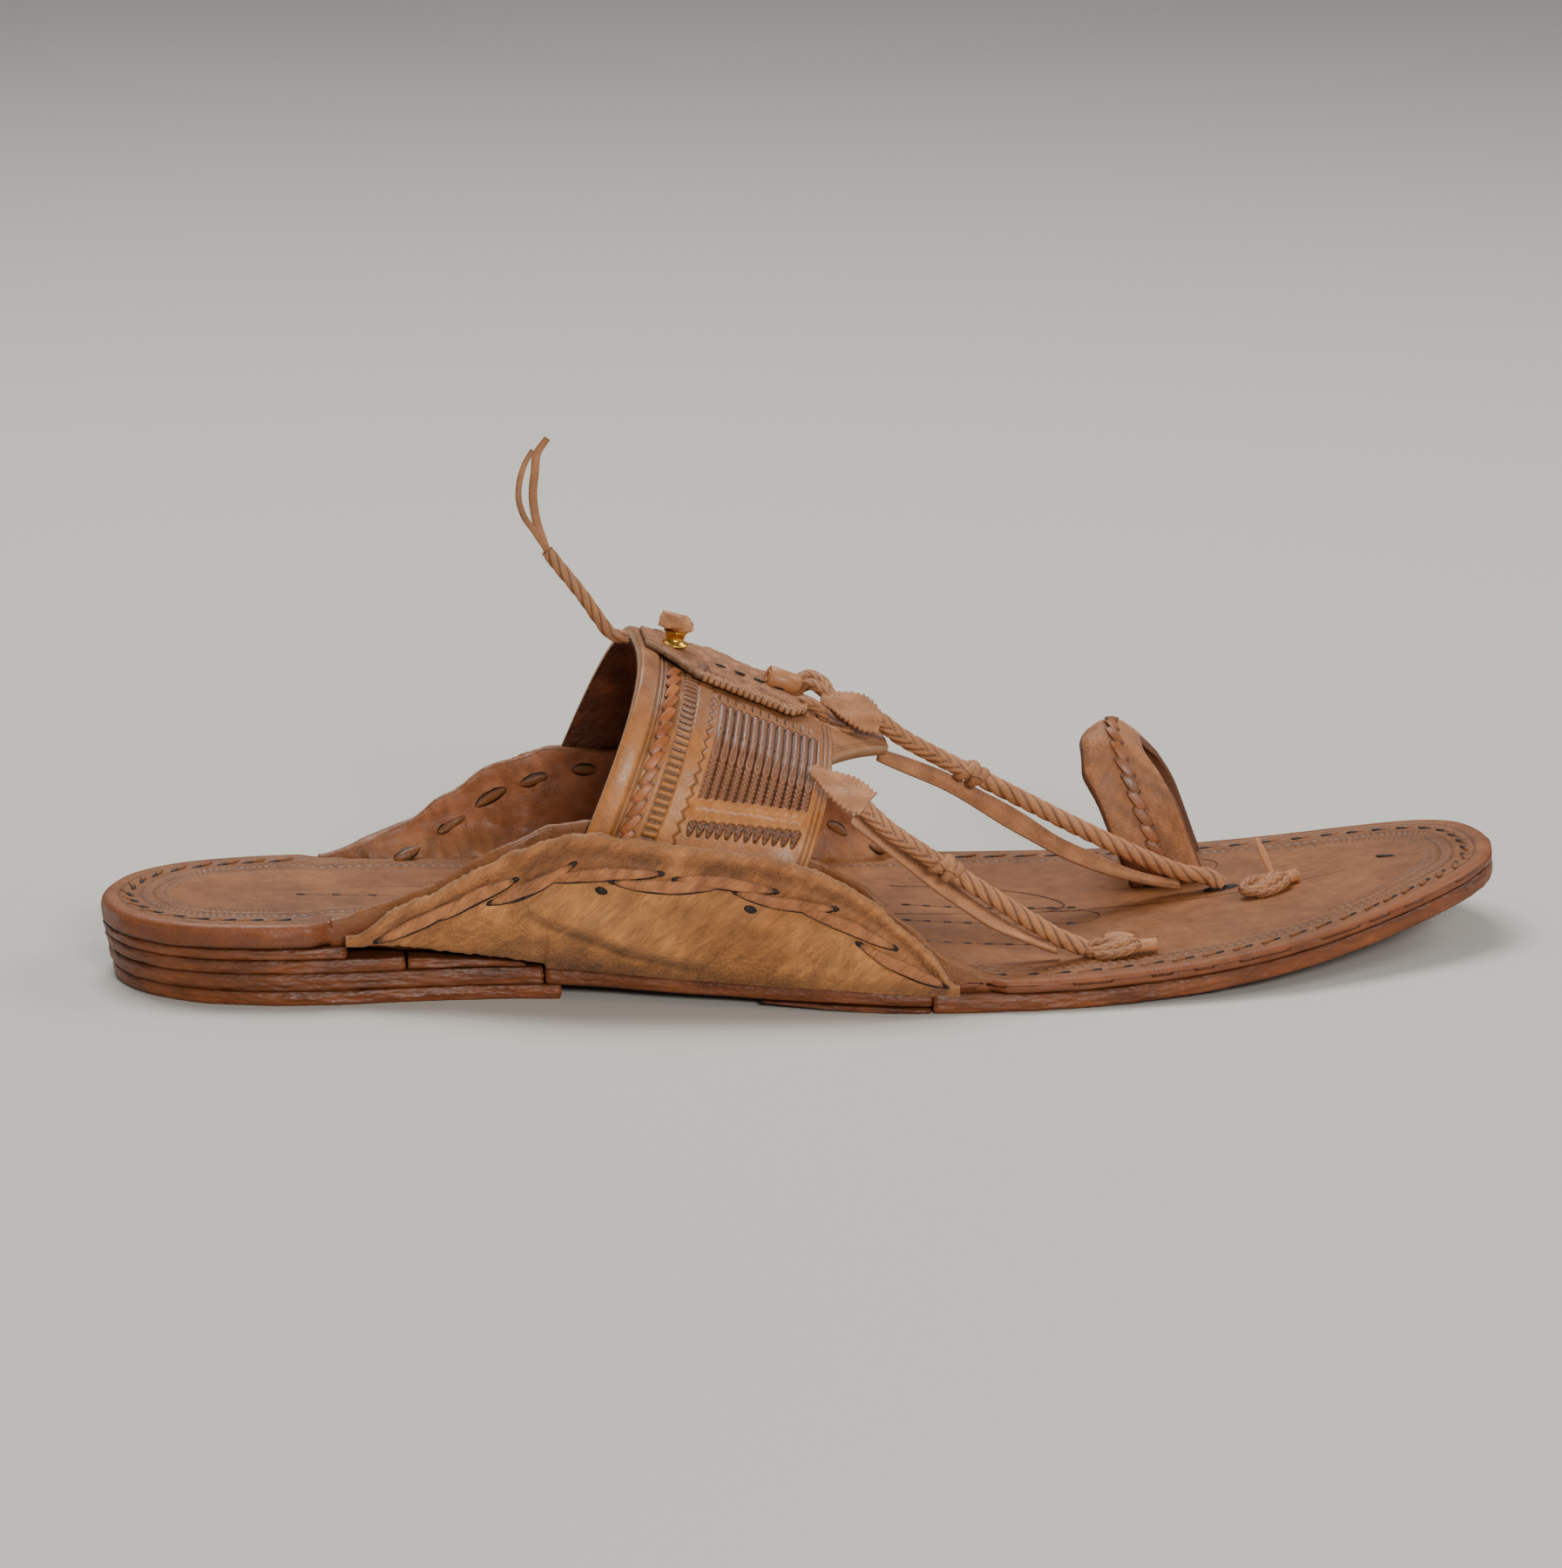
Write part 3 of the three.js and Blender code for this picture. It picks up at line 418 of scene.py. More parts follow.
def brass():
    material = bpy.data.materials.new("brass")
    material.use_nodes = True
    nodes, links = material.node_tree.nodes, material.node_tree.links
    shader = nodes["Principled BSDF"]
    shader.inputs["Metallic"].default_value = 1
    place = nodes.new("ShaderNodeTexCoord")
    tarnish = nodes.new("ShaderNodeTexNoise")
    tarnish.inputs["Scale"].default_value = 700
    tarnish.inputs["Detail"].default_value = 4
    links.new(place.outputs["Object"], tarnish.inputs["Vector"])
    tone = nodes.new("ShaderNodeValToRGB")
    tone.color_ramp.elements[0].position = 0.35
    tone.color_ramp.elements[0].color = (*srgb(176, 120, 40), 1)
    tone.color_ramp.elements[1].position = 0.65
    tone.color_ramp.elements[1].color = (*srgb(240, 190, 90), 1)
    links.new(tarnish.outputs["Fac"], tone.inputs["Fac"])
    links.new(tone.outputs["Color"], shader.inputs["Base Color"])
    rough = nodes.new("ShaderNodeMapRange")
    rough.inputs["To Min"].default_value = 0.15
    rough.inputs["To Max"].default_value = 0.4
    links.new(tarnish.outputs["Fac"], rough.inputs["Value"])
    links.new(rough.outputs["Result"], shader.inputs["Roughness"])
    return material


# Near black: the painted shade in slits, holes, gaps and the sole's hidden core, and the small dark stitches
# on the footbed.
DARK = srgb(30, 14, 8)
FOOTBED_TINT = srgb(136, 85, 45)
EDGE_TINT = srgb(126, 68, 32)
FLAP_TINT = srgb(173, 116, 65)
BAND_TINT = srgb(178, 114, 58)
BRAID_TINT = srgb(126, 80, 52)
LACING_TINT = srgb(164, 92, 38)
CORD_TINT = srgb(176, 121, 82)
RAW_TINT = srgb(150, 112, 80)
EAR_TINT = srgb(158, 100, 66)
FLAP_BORDER_TINT = srgb(160, 104, 62)
BAND_SHADED_TOP_TINT = srgb(146, 98, 64)
RIDGE_TINT = srgb(180, 116, 62)
CUT_EDGE_TINT = srgb(176, 132, 92)
LINING_TINT = srgb(100, 56, 34)
TAB_TINT = srgb(150, 102, 66)
STRIP_TINT = srgb(152, 104, 72)
BINDING_TINT = srgb(178, 124, 80)
ROLL_TINT = srgb(172, 116, 72)
LOOP_TINT = srgb(162, 108, 70)
LOOP_BACK_TINT = srgb(104, 64, 40)
LOOP_LACING_TINT = srgb(150, 92, 54)
STITCH_TINT = srgb(170, 110, 68)

footbed_leather = leather("footbed_leather", roughness=0.5, grain=1500, depth=0.16, mottle=0.16, coat=0.03)
edge_leather = leather(
    "edge_leather", roughness=0.46, grain=1500, depth=0.3, mottle=0.2, streak=(2.2, 2.2, 0.8)
)
flap_leather = leather(
    "flap_leather", roughness=0.68, grain=2400, depth=0.6, mottle=0.26, streak=(5.5, 1, 1), lean=-0.75,
    fuzz=0.15,
)
band_leather = leather("band_leather", roughness=0.42, grain=2600, depth=0.1, mottle=0.13, coat=0.05)
thong_leather = leather("thong_leather", roughness=0.6, grain=1800, depth=0.25, mottle=0.14)
lining_leather = leather("lining_leather", roughness=0.6, grain=1100, depth=0.6, mottle=0.3)
brass_metal = brass()

# ---- camera, light and floor ------------------------------------------------------------------


def set_stage():
    camera = bpy.data.objects.new("camera", bpy.data.cameras.new("camera"))
    camera.location = (-0.1480, -1.2544, 0.3373)
    camera.rotation_euler = (math.radians(76.5), 0, math.radians(-6.5))
    camera.data.lens = 148
    camera.data.sensor_width = 36
    bpy.context.collection.objects.link(camera)
    bpy.context.scene.camera = camera

    def area(name, at, aim, size, power, colour=(1, 1, 1)):
        lamp = bpy.data.lights.new(name, "AREA")
        lamp.shape = "RECTANGLE"
        lamp.size, lamp.size_y = size
        lamp.energy = power
        lamp.color = colour
        light = bpy.data.objects.new(name, lamp)
        light.location = at
        way = np.array(aim) - np.array(at)
        tilt = math.atan2(math.hypot(way[0], way[1]), -way[2])
        light.rotation_euler = (tilt, 0, math.atan2(way[0], -way[1]) + math.pi)
        bpy.context.collection.objects.link(light)

    area("key", (0.2, -1.45, 0.62), (0, 0, 0.03), (0.5, 0.26), 16, (1, 0.97, 0.92))
    area("top", (-0.25, 0.55, 1.35), (0, 0, 0), (0.9, 0.7), 19)
    area("side", (1.2, 0.2, 0.9), (0, 0, 0.02), (0.7, 0.6), 7, (1, 0.98, 0.95))

    world = bpy.data.worlds.new("world")
    world.use_nodes = True
    background = world.node_tree.nodes["Background"]
    background.inputs["Color"].default_value = (0.9, 0.92, 0.95, 1)
    background.inputs["Strength"].default_value = 0.22
    bpy.context.scene.world = world

    half = 6
    corners = [(-half, -half, 0), (half, -half, 0), (half, half, 0), (-half, half, 0)]
    floor = bpy.data.meshes.new("floor")
    floor.from_pydata(corners, [], [(0, 1, 2, 3)])
    paint = bpy.data.materials.new("floor")
    paint.use_nodes = True
    shader = paint.node_tree.nodes["Principled BSDF"]
    shader.inputs["Base Color"].default_value = (0.6, 0.58, 0.53, 1)
    shader.inputs["Roughness"].default_value = 0.9
    floor.materials.append(paint)
    ground = bpy.data.objects.new("floor", floor)
    bpy.context.collection.objects.link(ground)


# ---- plaits -----------------------------------------------------------------------------------


def side_frame(path, reference):
    """Two directions square to a path, the second one nearest to the reference."""
    along = tangents(path)
    side = unit(np.cross(along, np.asarray(reference, float)))
    return side, np.cross(side, along)


def plait(batch, path, radius, pitch, tint, twist_from=None, reference=(0, 0, 1), sides=32):
    """A round plait of thongs; beyond twist_from (mm along it) the thongs only wind around."""
    length = arc_length(path)[:, None]
    side, up = side_frame(path, reference)
    angle = np.linspace(-math.pi, math.pi, sides, endpoint=False)[None]
    fold = 1 - np.abs(1 - np.abs(angle) / (math.pi / 2))
    braided = length / pitch + 1.5 * fold + 0.5 * (angle > 0)
    wound = length / (pitch * 1.25) + 4 * angle / (2 * math.pi)
    share = 0 if twist_from is None else smooth(length, twist_from, twist_from + 1.5)
    phase = np.where(share > 0.5, wound, braided) % 1
    crest = np.sin(math.pi * phase) ** 0.5
    seam = (1 - share) * bump(np.minimum(np.abs(angle), math.pi - np.abs(angle)), 0, 0.25)
    reach = radius * (0.8 + 0.24 * crest - 0.06 * seam)
    out = side[:, None] * np.cos(angle)[..., None] + up[:, None] * np.sin(angle)[..., None]
    verts = path[:, None] + out * reach[..., None]
    # Crests are painted lighter and the grooves and middle seam darker, as painted highlight and shade, with
    # a little random tone.
    shade = 0.3 + 0.78 * smooth(crest, 0.25, 0.85) - 0.15 * seam + 0.06 * wobble(91, 5, length, angle * 2)
    tints = np.asarray(tint) * shade[..., None]
    n = len(path)
    faces = [tuple(f) for f in grid_faces(n, sides, wrap_cols=True)]
    verts = np.vstack([verts.reshape(-1, 3), path[0], path[-1]])
    tints = np.vstack([tints.reshape(-1, 3), tints[0, :1], tints[-1, :1]])
    for j in range(sides):
        k = (j + 1) % sides
        faces.append((n * sides, k, j))
        faces.append((n * sides + 1, (n - 1) * sides + j, (n - 1) * sides + k))
    batch.add(verts, faces, tints)


# The tail: a plaited cord held by the ridge strip, split at its end into two flat thongs.
TAIL_BRAID = [
    (-36.0, -4.0, 66.0), (-39.4, -4.0, 66.8), (-42.0, -4.0, 70.0), (-44.8, -4.0, 74.2),
    (-47.6, -4.0, 77.9), (-50.2, -4.0, 81.2), (-52.2, -4.0, 84.0), (-53.9, -4.0, 87.2),
]
THONG_REAR = [
    (-54.9, -5.2, 88.4), (-56.8, -5.4, 91.2), (-57.8, -5.0, 94.6), (-57.6, -4.6, 98.0),
    (-56.6, -4.4, 101.4), (-55.0, -4.6, 104.4),
]
THONG_FRONT = [
    (-53.8, -2.8, 88.4), (-54.5, -2.4, 91.6), (-54.8, -2.4, 95.4), (-54.4, -2.8, 99.6),
    (-54.0, -3.4, 103.4), (-52.0, -4.0, 106.6),
]


def flat_thong(batch, route, width, tint):
    path = resample(catmull(route), 60)
    t = np.linspace(0, 1, 60)
    taper = np.interp(t, [0, 0.12, 0.8, 1], [0.8, 1, 0.95, 0.75])
    sway = np.stack([0.1 * np.sin(5 * t), -1 + 0 * t, 0.25 * np.cos(4 * t)], axis=1)
    shade = 1 + 0.14 * np.sin(9 * t + 1)[:, None]
    batch.strand(path, unit(sway), width * taper, 1.0 * taper, tint * shade, square=0.7)


def make_tail():
    whole = catmull(TAIL_BRAID + THONG_REAR)[:-12]
    plaited, split = TAIL_BRAID[:-1], TAIL_BRAID[-2:-1]
    braid = Batch()
    path = resample(catmull(plaited), 260)
    plait(braid, path, 1.3, 2.8, CORD_TINT * 0.85, twist_from=0.0, reference=(0.4, 0, 1))
    flat_thong(braid, split + THONG_REAR, 1.3, CORD_TINT * 0.72)
    tail = part(braid.build("tail", thong_leather), "thong_leather", "tail_braid", "tail_thong_rear")
    second = Batch()
    flat_thong(second, split + THONG_FRONT, 1.8, CORD_TINT * 0.85)
    thong = part(second.build("tail_thong", thong_leather), "thong_leather", "tail_thong_front")
    path = [tuple(p * MM) for p in resample(whole, 30)]


set_stage()
make_tail()

# ---- the sole ---------------------------------------------------------------------------------

lateral_edge, medial_edge = column(OUTLINE, 1), column(OUTLINE, 2)
lip_height = column(EARS, 1)
lip_face = {-1: column(EARS, 2), 1: column(EARS, 3)}
sole_face = {-1: lateral_edge, 1: medial_edge}


def middle_line(x):
    """y midway between the sole's two edges."""
    return (lateral_edge(x) + medial_edge(x)) / 2


def toe_spring(x):
    """How far the toe rises off the floor."""
    return TOE_SPRING * (np.maximum(0, x - SPRING_FROM) / (HALF_LENGTH - SPRING_FROM)) ** 2


def heel_share(x):
    """0 under the forefoot and 1 at the heel."""
    return smooth(-x, -RISE_FROM, -RISE_TO)


def footbed_top(x):
    return FORE_TOP + HEEL_RISE * heel_share(x) + toe_spring(x)


def footbed_under(x):
    return FORE_UNDER + UNDER_RISE * heel_share(x) + toe_spring(x)


def outsole_top(x):
    return straight(OUTSOLE, 1)(x) + toe_spring(x)


def outsole_bottom(x):
    return straight(OUTSOLE, 2)(x) + toe_spring(x)


def outline(count):
    """The sole's outline, evenly spaced, from the heel's tip along the lateral side."""
    ring = [(-HALF_LENGTH, HEEL_TIP_Y)] + [(x, lat) for x, lat, _ in OUTLINE]
    ring += [(HALF_LENGTH, TOE_TIP_Y)] + [(x, med) for x, _, med in reversed(OUTLINE)]
    return resample(catmull(ring, closed=True, per_span=60), count, closed=True)


def around_length(ring):
    """The distance around a closed outline at each of its points."""
    return arc_length(np.vstack([ring, ring[:1]]))[:-1]


def on_spine(points, low, high):
    """The nearest points on the sole's middle line between two x."""
    x = np.clip(points[:, 0], low, high)
    return np.stack([x, middle_line(x)], axis=1)


def clipped(from_x, to_x, spacing=1.1):
    """The part of the outline between two x, closed with straight ends, evenly spaced."""
    ring = outline(2400)
    keep = (ring[:, 0] >= from_x) & (ring[:, 0] <= to_x)
    start = 0
    if not keep.all():
        start = int(np.argmax(keep & ~np.roll(keep, 1)))
    ring, keep = np.roll(ring, -start, axis=0), np.roll(keep, -start)
    ring = ring[keep]
    around = arc_length(np.vstack([ring, ring[:1]]))[-1]
    return resample(ring, int(around / spacing), closed=True)


def slab(name, from_x, to_x, top, bottom, tint, seed, inset=0.0, swell=0.12, rough=0.14, tuck=(0, 0)):
    """A layer of sole leather with softened, slightly uneven cut edges; tuck narrows it at the heel."""
    ring = clipped(from_x, to_x)
    around = around_length(ring)
    z_top, z_low = top(ring[:, 0]), bottom(ring[:, 0])
    tall = z_top - z_low
    low, high = from_x + 26, to_x - 26
    low, high = (low, high) if low < high else ((low + high) / 2,) * 2
    spine = on_spine(ring, low, high)
    normal = unit(spine - ring)
    at_heel = smooth(-ring[:, 0], 96, 138)
    rows, tints = [], []
    profile = [(None, 0.0), (9.0, 0.0), (0.6, 0.0)]
    for share in np.linspace(0, 1, 13):
        profile.append((0.35 * abs(2 * share - 1) ** 5 - swell * math.sin(math.pi * share), share))
    profile += [(0.6, 1.0), (9.0, 1.0), (None, 1.0)]
    for reach, share in profile:
        z = z_low + tall * share
        if reach is None:
            plan = lerp(ring, spine, 0.98)
        else:
            uneven = rough * wobble(seed, 9, around, z * 6)
            uneven = uneven + 0.6 * rough * wobble(seed + 1, 2.2, around, z * 3)
            taper = lerp(tuck[0], tuck[1], share) * at_heel
            plan = ring + normal * (inset + taper + reach + uneven * (reach < 2))[:, None]
        x = np.clip(plan[:, 0], from_x, to_x)
        rows.append(np.column_stack([plan, lerp(bottom(x), top(x), share)]))
        wear_and_shade = 1 + 0.16 * wobble(seed + 2, 16, around, z * 5) + 0.1 * wobble(seed + 3, 3, around, z * 9)
        # Each layer darkens towards its top and bottom: painted shade where the layers meet.
        joint_shade = smooth(share, 0.6, 1.0) * 0.35 + smooth(-share, -0.12, 0.0) * 0.45
        tints.append(tint * (wear_and_shade * (1 - joint_shade))[:, None])
    verts = np.stack(rows)
    faces = grid_faces(*verts.shape[:2], wrap_cols=True)
    return make_mesh(name, verts, faces, edge_leather, np.stack(tints))


def flat(z):
    return lambda x: z + 0 * x


# The heel's layers: piece, CAD node, front end, top, bottom, shade, seed, how far the heel narrows
HEEL_LAYERS = [
    ("sole_heel_lift", "heel_lift", LIFT_END, 2.85, 0, 1.0, 11, (2.4, 1.9)),
    ("sole_heel_low", "heel_layer_low", HEEL_BREAST - GAP, 6.4, 2.9, 0.82, 21, (1.9, 1.2)),
    ("sole_heel_high", "heel_layer_high", SCARF - GAP, 9.2, 6.45, 0.78, 31, (1.2, 0.7)),
    ("sole_midsole", "heel_midsole", MIDSOLE_END, 11.45, 9.3, 0.9, 41, (0.7, 0.3)),
]
FILLER_LOW = 6.5


def filler_core_low(x):
    return np.maximum(np.where(x < HEEL_BREAST, FILLER_LOW, 0), outsole_top(x) + GAP)


def make_sole():
    beyond = HALF_LENGTH + 2
    for name, node, end, top, bottom, shade, seed, tuck in HEEL_LAYERS:
        layer = slab(name, -beyond, end, flat(top), flat(bottom), EDGE_TINT * shade, seed, tuck=tuck)
        part(layer, "sole_leather", node)
    patch_top, patch_low = straight(PATCH, 1), straight(PATCH, 2)
    patch = slab("sole_patch", PATCH[0][0], PATCH_END, patch_top, patch_low, EDGE_TINT * 0.7, 51, swell=0.1)
    step = PATCH_END + GAP
    waist = slab("sole_waist", HEEL_BREAST, step, outsole_top, outsole_bottom, EDGE_TINT * 0.8, 61)
    fore = slab("sole_fore", step, beyond, lambda x: outsole_top(x) + 0.2, toe_spring, EDGE_TINT * 0.9, 71)
    rim = slab(
        "sole_filler_rim", SCARF, HEEL_BREAST - 3.5, straight(FILLER_TOP, 1), flat(FILLER_LOW),
        EDGE_TINT * 0.8, 81, swell=0.1, inset=0.3,
    )
    # The filler's hidden core is near black: painted shade for the gaps it shows through.
    core = slab(
        "sole_filler_core", SCARF, FILLER_END, lambda x: footbed_under(x) - GAP, filler_core_low, DARK, 91,
        swell=0.0, inset=7.0,
    )
    part(patch, "sole_leather", "outsole_patch")
    part(waist, "sole_leather", "outsole")
    part(fore, "sole_leather")
    part(rim, "sole_leather", "waist_filler")
    part(core, "sole_leather")


# ---- footbed ----------------------------------------------------------------------------------

RIM_ROUND = 1.5
# How far in from the edge the scribed line, the stitches, the two lines of the chain border and,
# at heel and toe only, a second chain border lie
SCRIBED, STITCH_LINE = 3.5, 5.7
CHAIN_LINES = (8.6, 9.9)
END_CHAIN_LINES = (12.0, 13.2)
STITCH_STEP, KNOT_STEP = 6.4, 1.9
SPINE_FROM, SPINE_TO = -HALF_LENGTH + 34, HALF_LENGTH - 30


def footbed_inset(x):
    return EAR_SINK * smooth(x, -102, -97) * (1 - smooth(x, 29.5, 34))


def footbed_relief(reach, around, x):
    """Height and shade of the tooling at a distance in from the edge. The scribed line, the stitch channel
    and the grooves beside the chain are darker, partly their own colour and partly painted shade; the chain's
    knots are painted lighter and the hollows between them darker, as painted highlight and shade.
    """
    ends = smooth(np.abs(x + 5), 95, 112)
    height = -0.25 * bump(reach, SCRIBED, 0.5) - 0.3 * bump(reach, STITCH_LINE, 2.2)
    shade = (1 - 0.55 * bump(reach, SCRIBED, 0.5)) * (1 - 0.12 * bump(reach, STITCH_LINE, 2.6))
    strengths = (1.0, 1.0, ends, ends)
    for line, strength in zip(CHAIN_LINES + END_CHAIN_LINES, strengths):
        turn = around / KNOT_STEP + 0.5 * (line > CHAIN_LINES[0]) + 0.3 * (reach - line)
        knot = 0.5 + 0.5 * np.sin(2 * math.pi * turn)
        band = bump(reach, line, 1.2) * strength
        height = height + band * (0.36 * knot - 0.14)
        shade = shade * (1 - band * (0.6 - 0.66 * knot))
    for line in (CHAIN_LINES[0] - 0.75, CHAIN_LINES[1] + 0.75):
        height = height - 0.2 * bump(reach, line, 0.6)
        shade = shade * (1 - 0.45 * bump(reach, line, 0.6))
    return height, shade


def make_footbed():
    ring = outline(1000)
    around = around_length(ring)
    normal = unit(on_spine(ring, SPINE_FROM, SPINE_TO) - ring)
    ring = ring + normal * footbed_inset(ring[:, 0])[:, None]
    reaches = np.concatenate([[0, 0.15, 0.45, 0.9, 1.5, 2.2, 2.9], np.arange(3.2, 14.4, 0.33)])
    rows, tints = [], []
    for reach, share in ((9.0, 0.0), (0.4, 0.0), (0.08, 0.1), (0.0, 0.25), (0.0, 0.45), (0.0, 0.66)):
        plan = ring + normal * reach
        x = plan[:, 0]
        uneven = 0.1 * wobble(5, 10, around, 9 * share + 0 * around)
        z = lerp(footbed_under(x), footbed_top(x), share)
        rows.append(np.column_stack([plan + normal * uneven[:, None], z]))
        wear_and_shade = 0.92 + 0.15 * wobble(6, 12, around, 20 * share + 0 * around)
        # The edge's bottom rows are darkened to 0.25 and 0.7: painted shade where the footbed meets the sole
        # below.
        tints.append(EDGE_TINT * (wear_and_shade * (0.25 if share < 0.05 else 0.7 if share < 0.2 else 1))[:, None])

    def broad(x, y):
        return 1 + 0.08 * wobble(7, 45, x, y) + 0.06 * wobble(8, 14, x, y)

    for reach in reaches:
        plan = ring + normal * reach
        x = plan[:, 0]
        drop = RIM_ROUND * (1 - np.sqrt(np.clip(1 - (1 - np.minimum(reach / RIM_ROUND, 1)) ** 2, 0, 1)))
        height, shade = footbed_relief(reach, around, x)
        rows.append(np.column_stack([plan, footbed_top(x) - drop + height]))
        edge = lerp(EDGE_TINT * 1.1, FOOTBED_TINT, min(reach / 3.0, 1))
        tints.append(edge * (shade * broad(x, plan[:, 1]))[:, None])
    last = ring + normal * reaches[-1]
    inner = on_spine(last, SPINE_FROM, SPINE_TO)
    for share in (0.05, 0.12, 0.25, 0.4, 0.55, 0.7, 0.85, 0.995):
        plan = lerp(last, inner, share)
        x = plan[:, 0]
        rows.append(np.column_stack([plan, footbed_top(x) - 0.15 + 0.1 * wobble(9, 60, x, plan[:, 1])]))
        tints.append(FOOTBED_TINT * broad(x, plan[:, 1])[:, None])
    verts = np.stack(rows)
    faces = grid_faces(*verts.shape[:2], wrap_cols=True)[:, ::-1]
    footbed = make_mesh("footbed", verts, faces, footbed_leather, np.stack(tints), closed=False)
    part(footbed, "footbed_leather", "insole")


def make_edge_stitches():
    """Slanted thong stitches in slits, set in from the footbed's edge, where no ear rises."""
    ring = outline(1000)
    around = arc_length(np.vstack([ring, ring[:1]]))
    count = int(around[-1] / STITCH_STEP)
    at = np.linspace(0, around[-1], count, endpoint=False)
    closed = np.vstack([ring, ring[:1]])
    edge = np.stack([np.interp(at, around, closed[:, k]) for k in (0, 1)], axis=1)
    ahead = unit(np.roll(edge, -1, axis=0) - np.roll(edge, 1, axis=0))
    inward = unit(on_spine(edge, SPINE_FROM, SPINE_TO) - edge)
    stitches = Batch()
    for point, along, side in zip(edge, ahead, inward):
        if -100 < point[0] < 30:
            continue
        way = unit(along + 0.35 * side)
        x, y = point + side * STITCH_LINE
        z = float(footbed_top(np.array(x)))
        # The slit is a near-black ellipsoid under the thong: painted shade inside the hole.
        slit = ((*(way * 1.5), 0), (*(side * 0.55), 0), (0, 0, 0.25))
        stitches.ball((x, y, z - 0.2), slit, DARK)
        x, y = point + side * STITCH_LINE - way * 2.6
        thong = ((*(way * 1.9), 0), (*(side * 0.75), 0), (0, 0, 0.5))
        stitches.ball((x, y, z - 0.15), thong, FOOTBED_TINT * 0.85)
    part(stitches.build("footbed_edge_stitches", thong_leather), "footbed_leather")


# ---- ears and flaps ---------------------------------------------------------------------------


def flap_floor(x):
    return np.where(x < HEEL_BREAST, straight(FILLER_TOP, 1)(x), outsole_top(x)) + GAP


def flap_low(x):
    rear = np.maximum(flap_floor(x), straight(FLAP_REAR_LOW, 1)(x))
    return np.where(x < HEEL_BREAST, rear, flap_floor(x))


def flap_face(side, x, z):
    share = np.clip((z - flap_floor(x)) / BULGE_HEIGHT, 0, 1)
    return lerp(sole_face[side](x), lip_face[side](x), np.sin(share * math.pi / 2))


def band_share(x):
    return smooth(x, -64, -54) * (1 - smooth(x, -3, 9))


def ear_face(side, x, z):
    gap_share = band_share(x) * smooth(z, flap_floor(x) + 1, flap_floor(x) + 11)
    return flap_face(side, x, z) - side * (EAR_SINK + SANDWICH * gap_share)


def ear_thickness(x, z):
    """The ear is thickest where it bends up out of the footbed, and thin where it hardly rises."""
    top = footbed_top(x)
    root = 4.2 * np.clip((lip_height(x) - top) / 5, 0.05, 1)
    return EAR_WALL - 0.3 + root * (1 - smooth(z, top, top + 6))


def ear_inside(side, x, z):
    return ear_face(side, x, z) - side * ear_thickness(x, z)


def make_ear(side, name):
    x = np.linspace(-97.5, 31.5, 200)[:, None]
    base, top = footbed_under(x) + 0.6, footbed_top(x) - 0.25
    ends = smooth(x, -96, -84) * (1 - smooth(x, 22, 31))
    rise = smooth(x, -98, -86) * (1 - smooth(x, 24, 31.5))
    lip = lerp(top - 0.4, lip_height(x) + 0.3 * wobble(12 + side, 11, x), rise)
    share = np.linspace(0, 1, 32)[None]
    low = np.minimum(top, lip - 0.3)
    z = np.where(share < 0.12, lerp(base, low, share / 0.12), lerp(low, lip, (share - 0.12) / 0.88))
    outer = np.stack([x + 0 * z, ear_face(side, x, z), z], axis=-1)
    crumple = ends * (0.3 * wobble(14 + side, 11, x, z) + 0.14 * wobble(15, 3.5, x, z))
    inner = np.stack([x + 0 * z, ear_inside(side, x, z) + side * crumple, z], axis=-1)
    rising = smooth(z, top, top + 9) * ends
    tone = lerp(FOOTBED_TINT, EAR_TINT, rising[..., None])
    tone = tone * (1 + 0.16 * wobble(16, 10, x, z) + 0.1 * wobble(17, 3, x, z))[..., None]
    outside = lerp(EDGE_TINT, FOOTBED_TINT * 0.95, smooth(z, top - 2, top + 1)[..., None])
    ear = wall_mesh(name, inner, outer, footbed_leather, tone, outside)
    return part(ear, "footbed_leather")


# x, z along the soft fold that runs down the lateral flap
FLAP_FOLD = [(-60, 19.6), (-55, 17.0), (-48, 14.2), (-41, 10.8), (-30, 8.0), (-20, 6.2)]


def flap_height(x):
    rear = lerp(12.9, lip_height(x) - FLAP_BELOW_LIP, smooth(x, FLAP_FROM, FLAP_FROM + 10))
    front = lerp(rear, flap_low(x) + 0.9, smooth(x, FLAP_TO - 5, FLAP_TO))
    return np.maximum(front, flap_low(x) + 0.9)


def above_fold(x, z):
    """Height above the flap's soft fold, and how strong the fold is there."""
    strength = smooth(x, -66, -56) * (1 - smooth(x, -34, -18))
    return z - np.interp(x, *np.array(FLAP_FOLD).T), strength


def flap_skin(side, x, z):
    """The flap's outer face with its fold, its thick upper edge and its dents."""
    low, high = flap_low(x), flap_height(x)
    rise, strength = above_fold(x, z)
    crease = -1.1 * bump(rise, 0, 2.0) * strength + 1.0 * bump(rise, 2.6, 4.0) * strength
    roll = 0.55 * bump(z - high, -0.8, 2.4) - 0.35 * bump(z - high, -3.1, 2.0)
    dents = 0.35 * wobble(24 + side, 26, x, z) + 0.14 * wobble(25 + side, 8, x, z)
    return flap_face(side, x, z) + side * (crease + roll + dents) * smooth(z, low, low + 3)


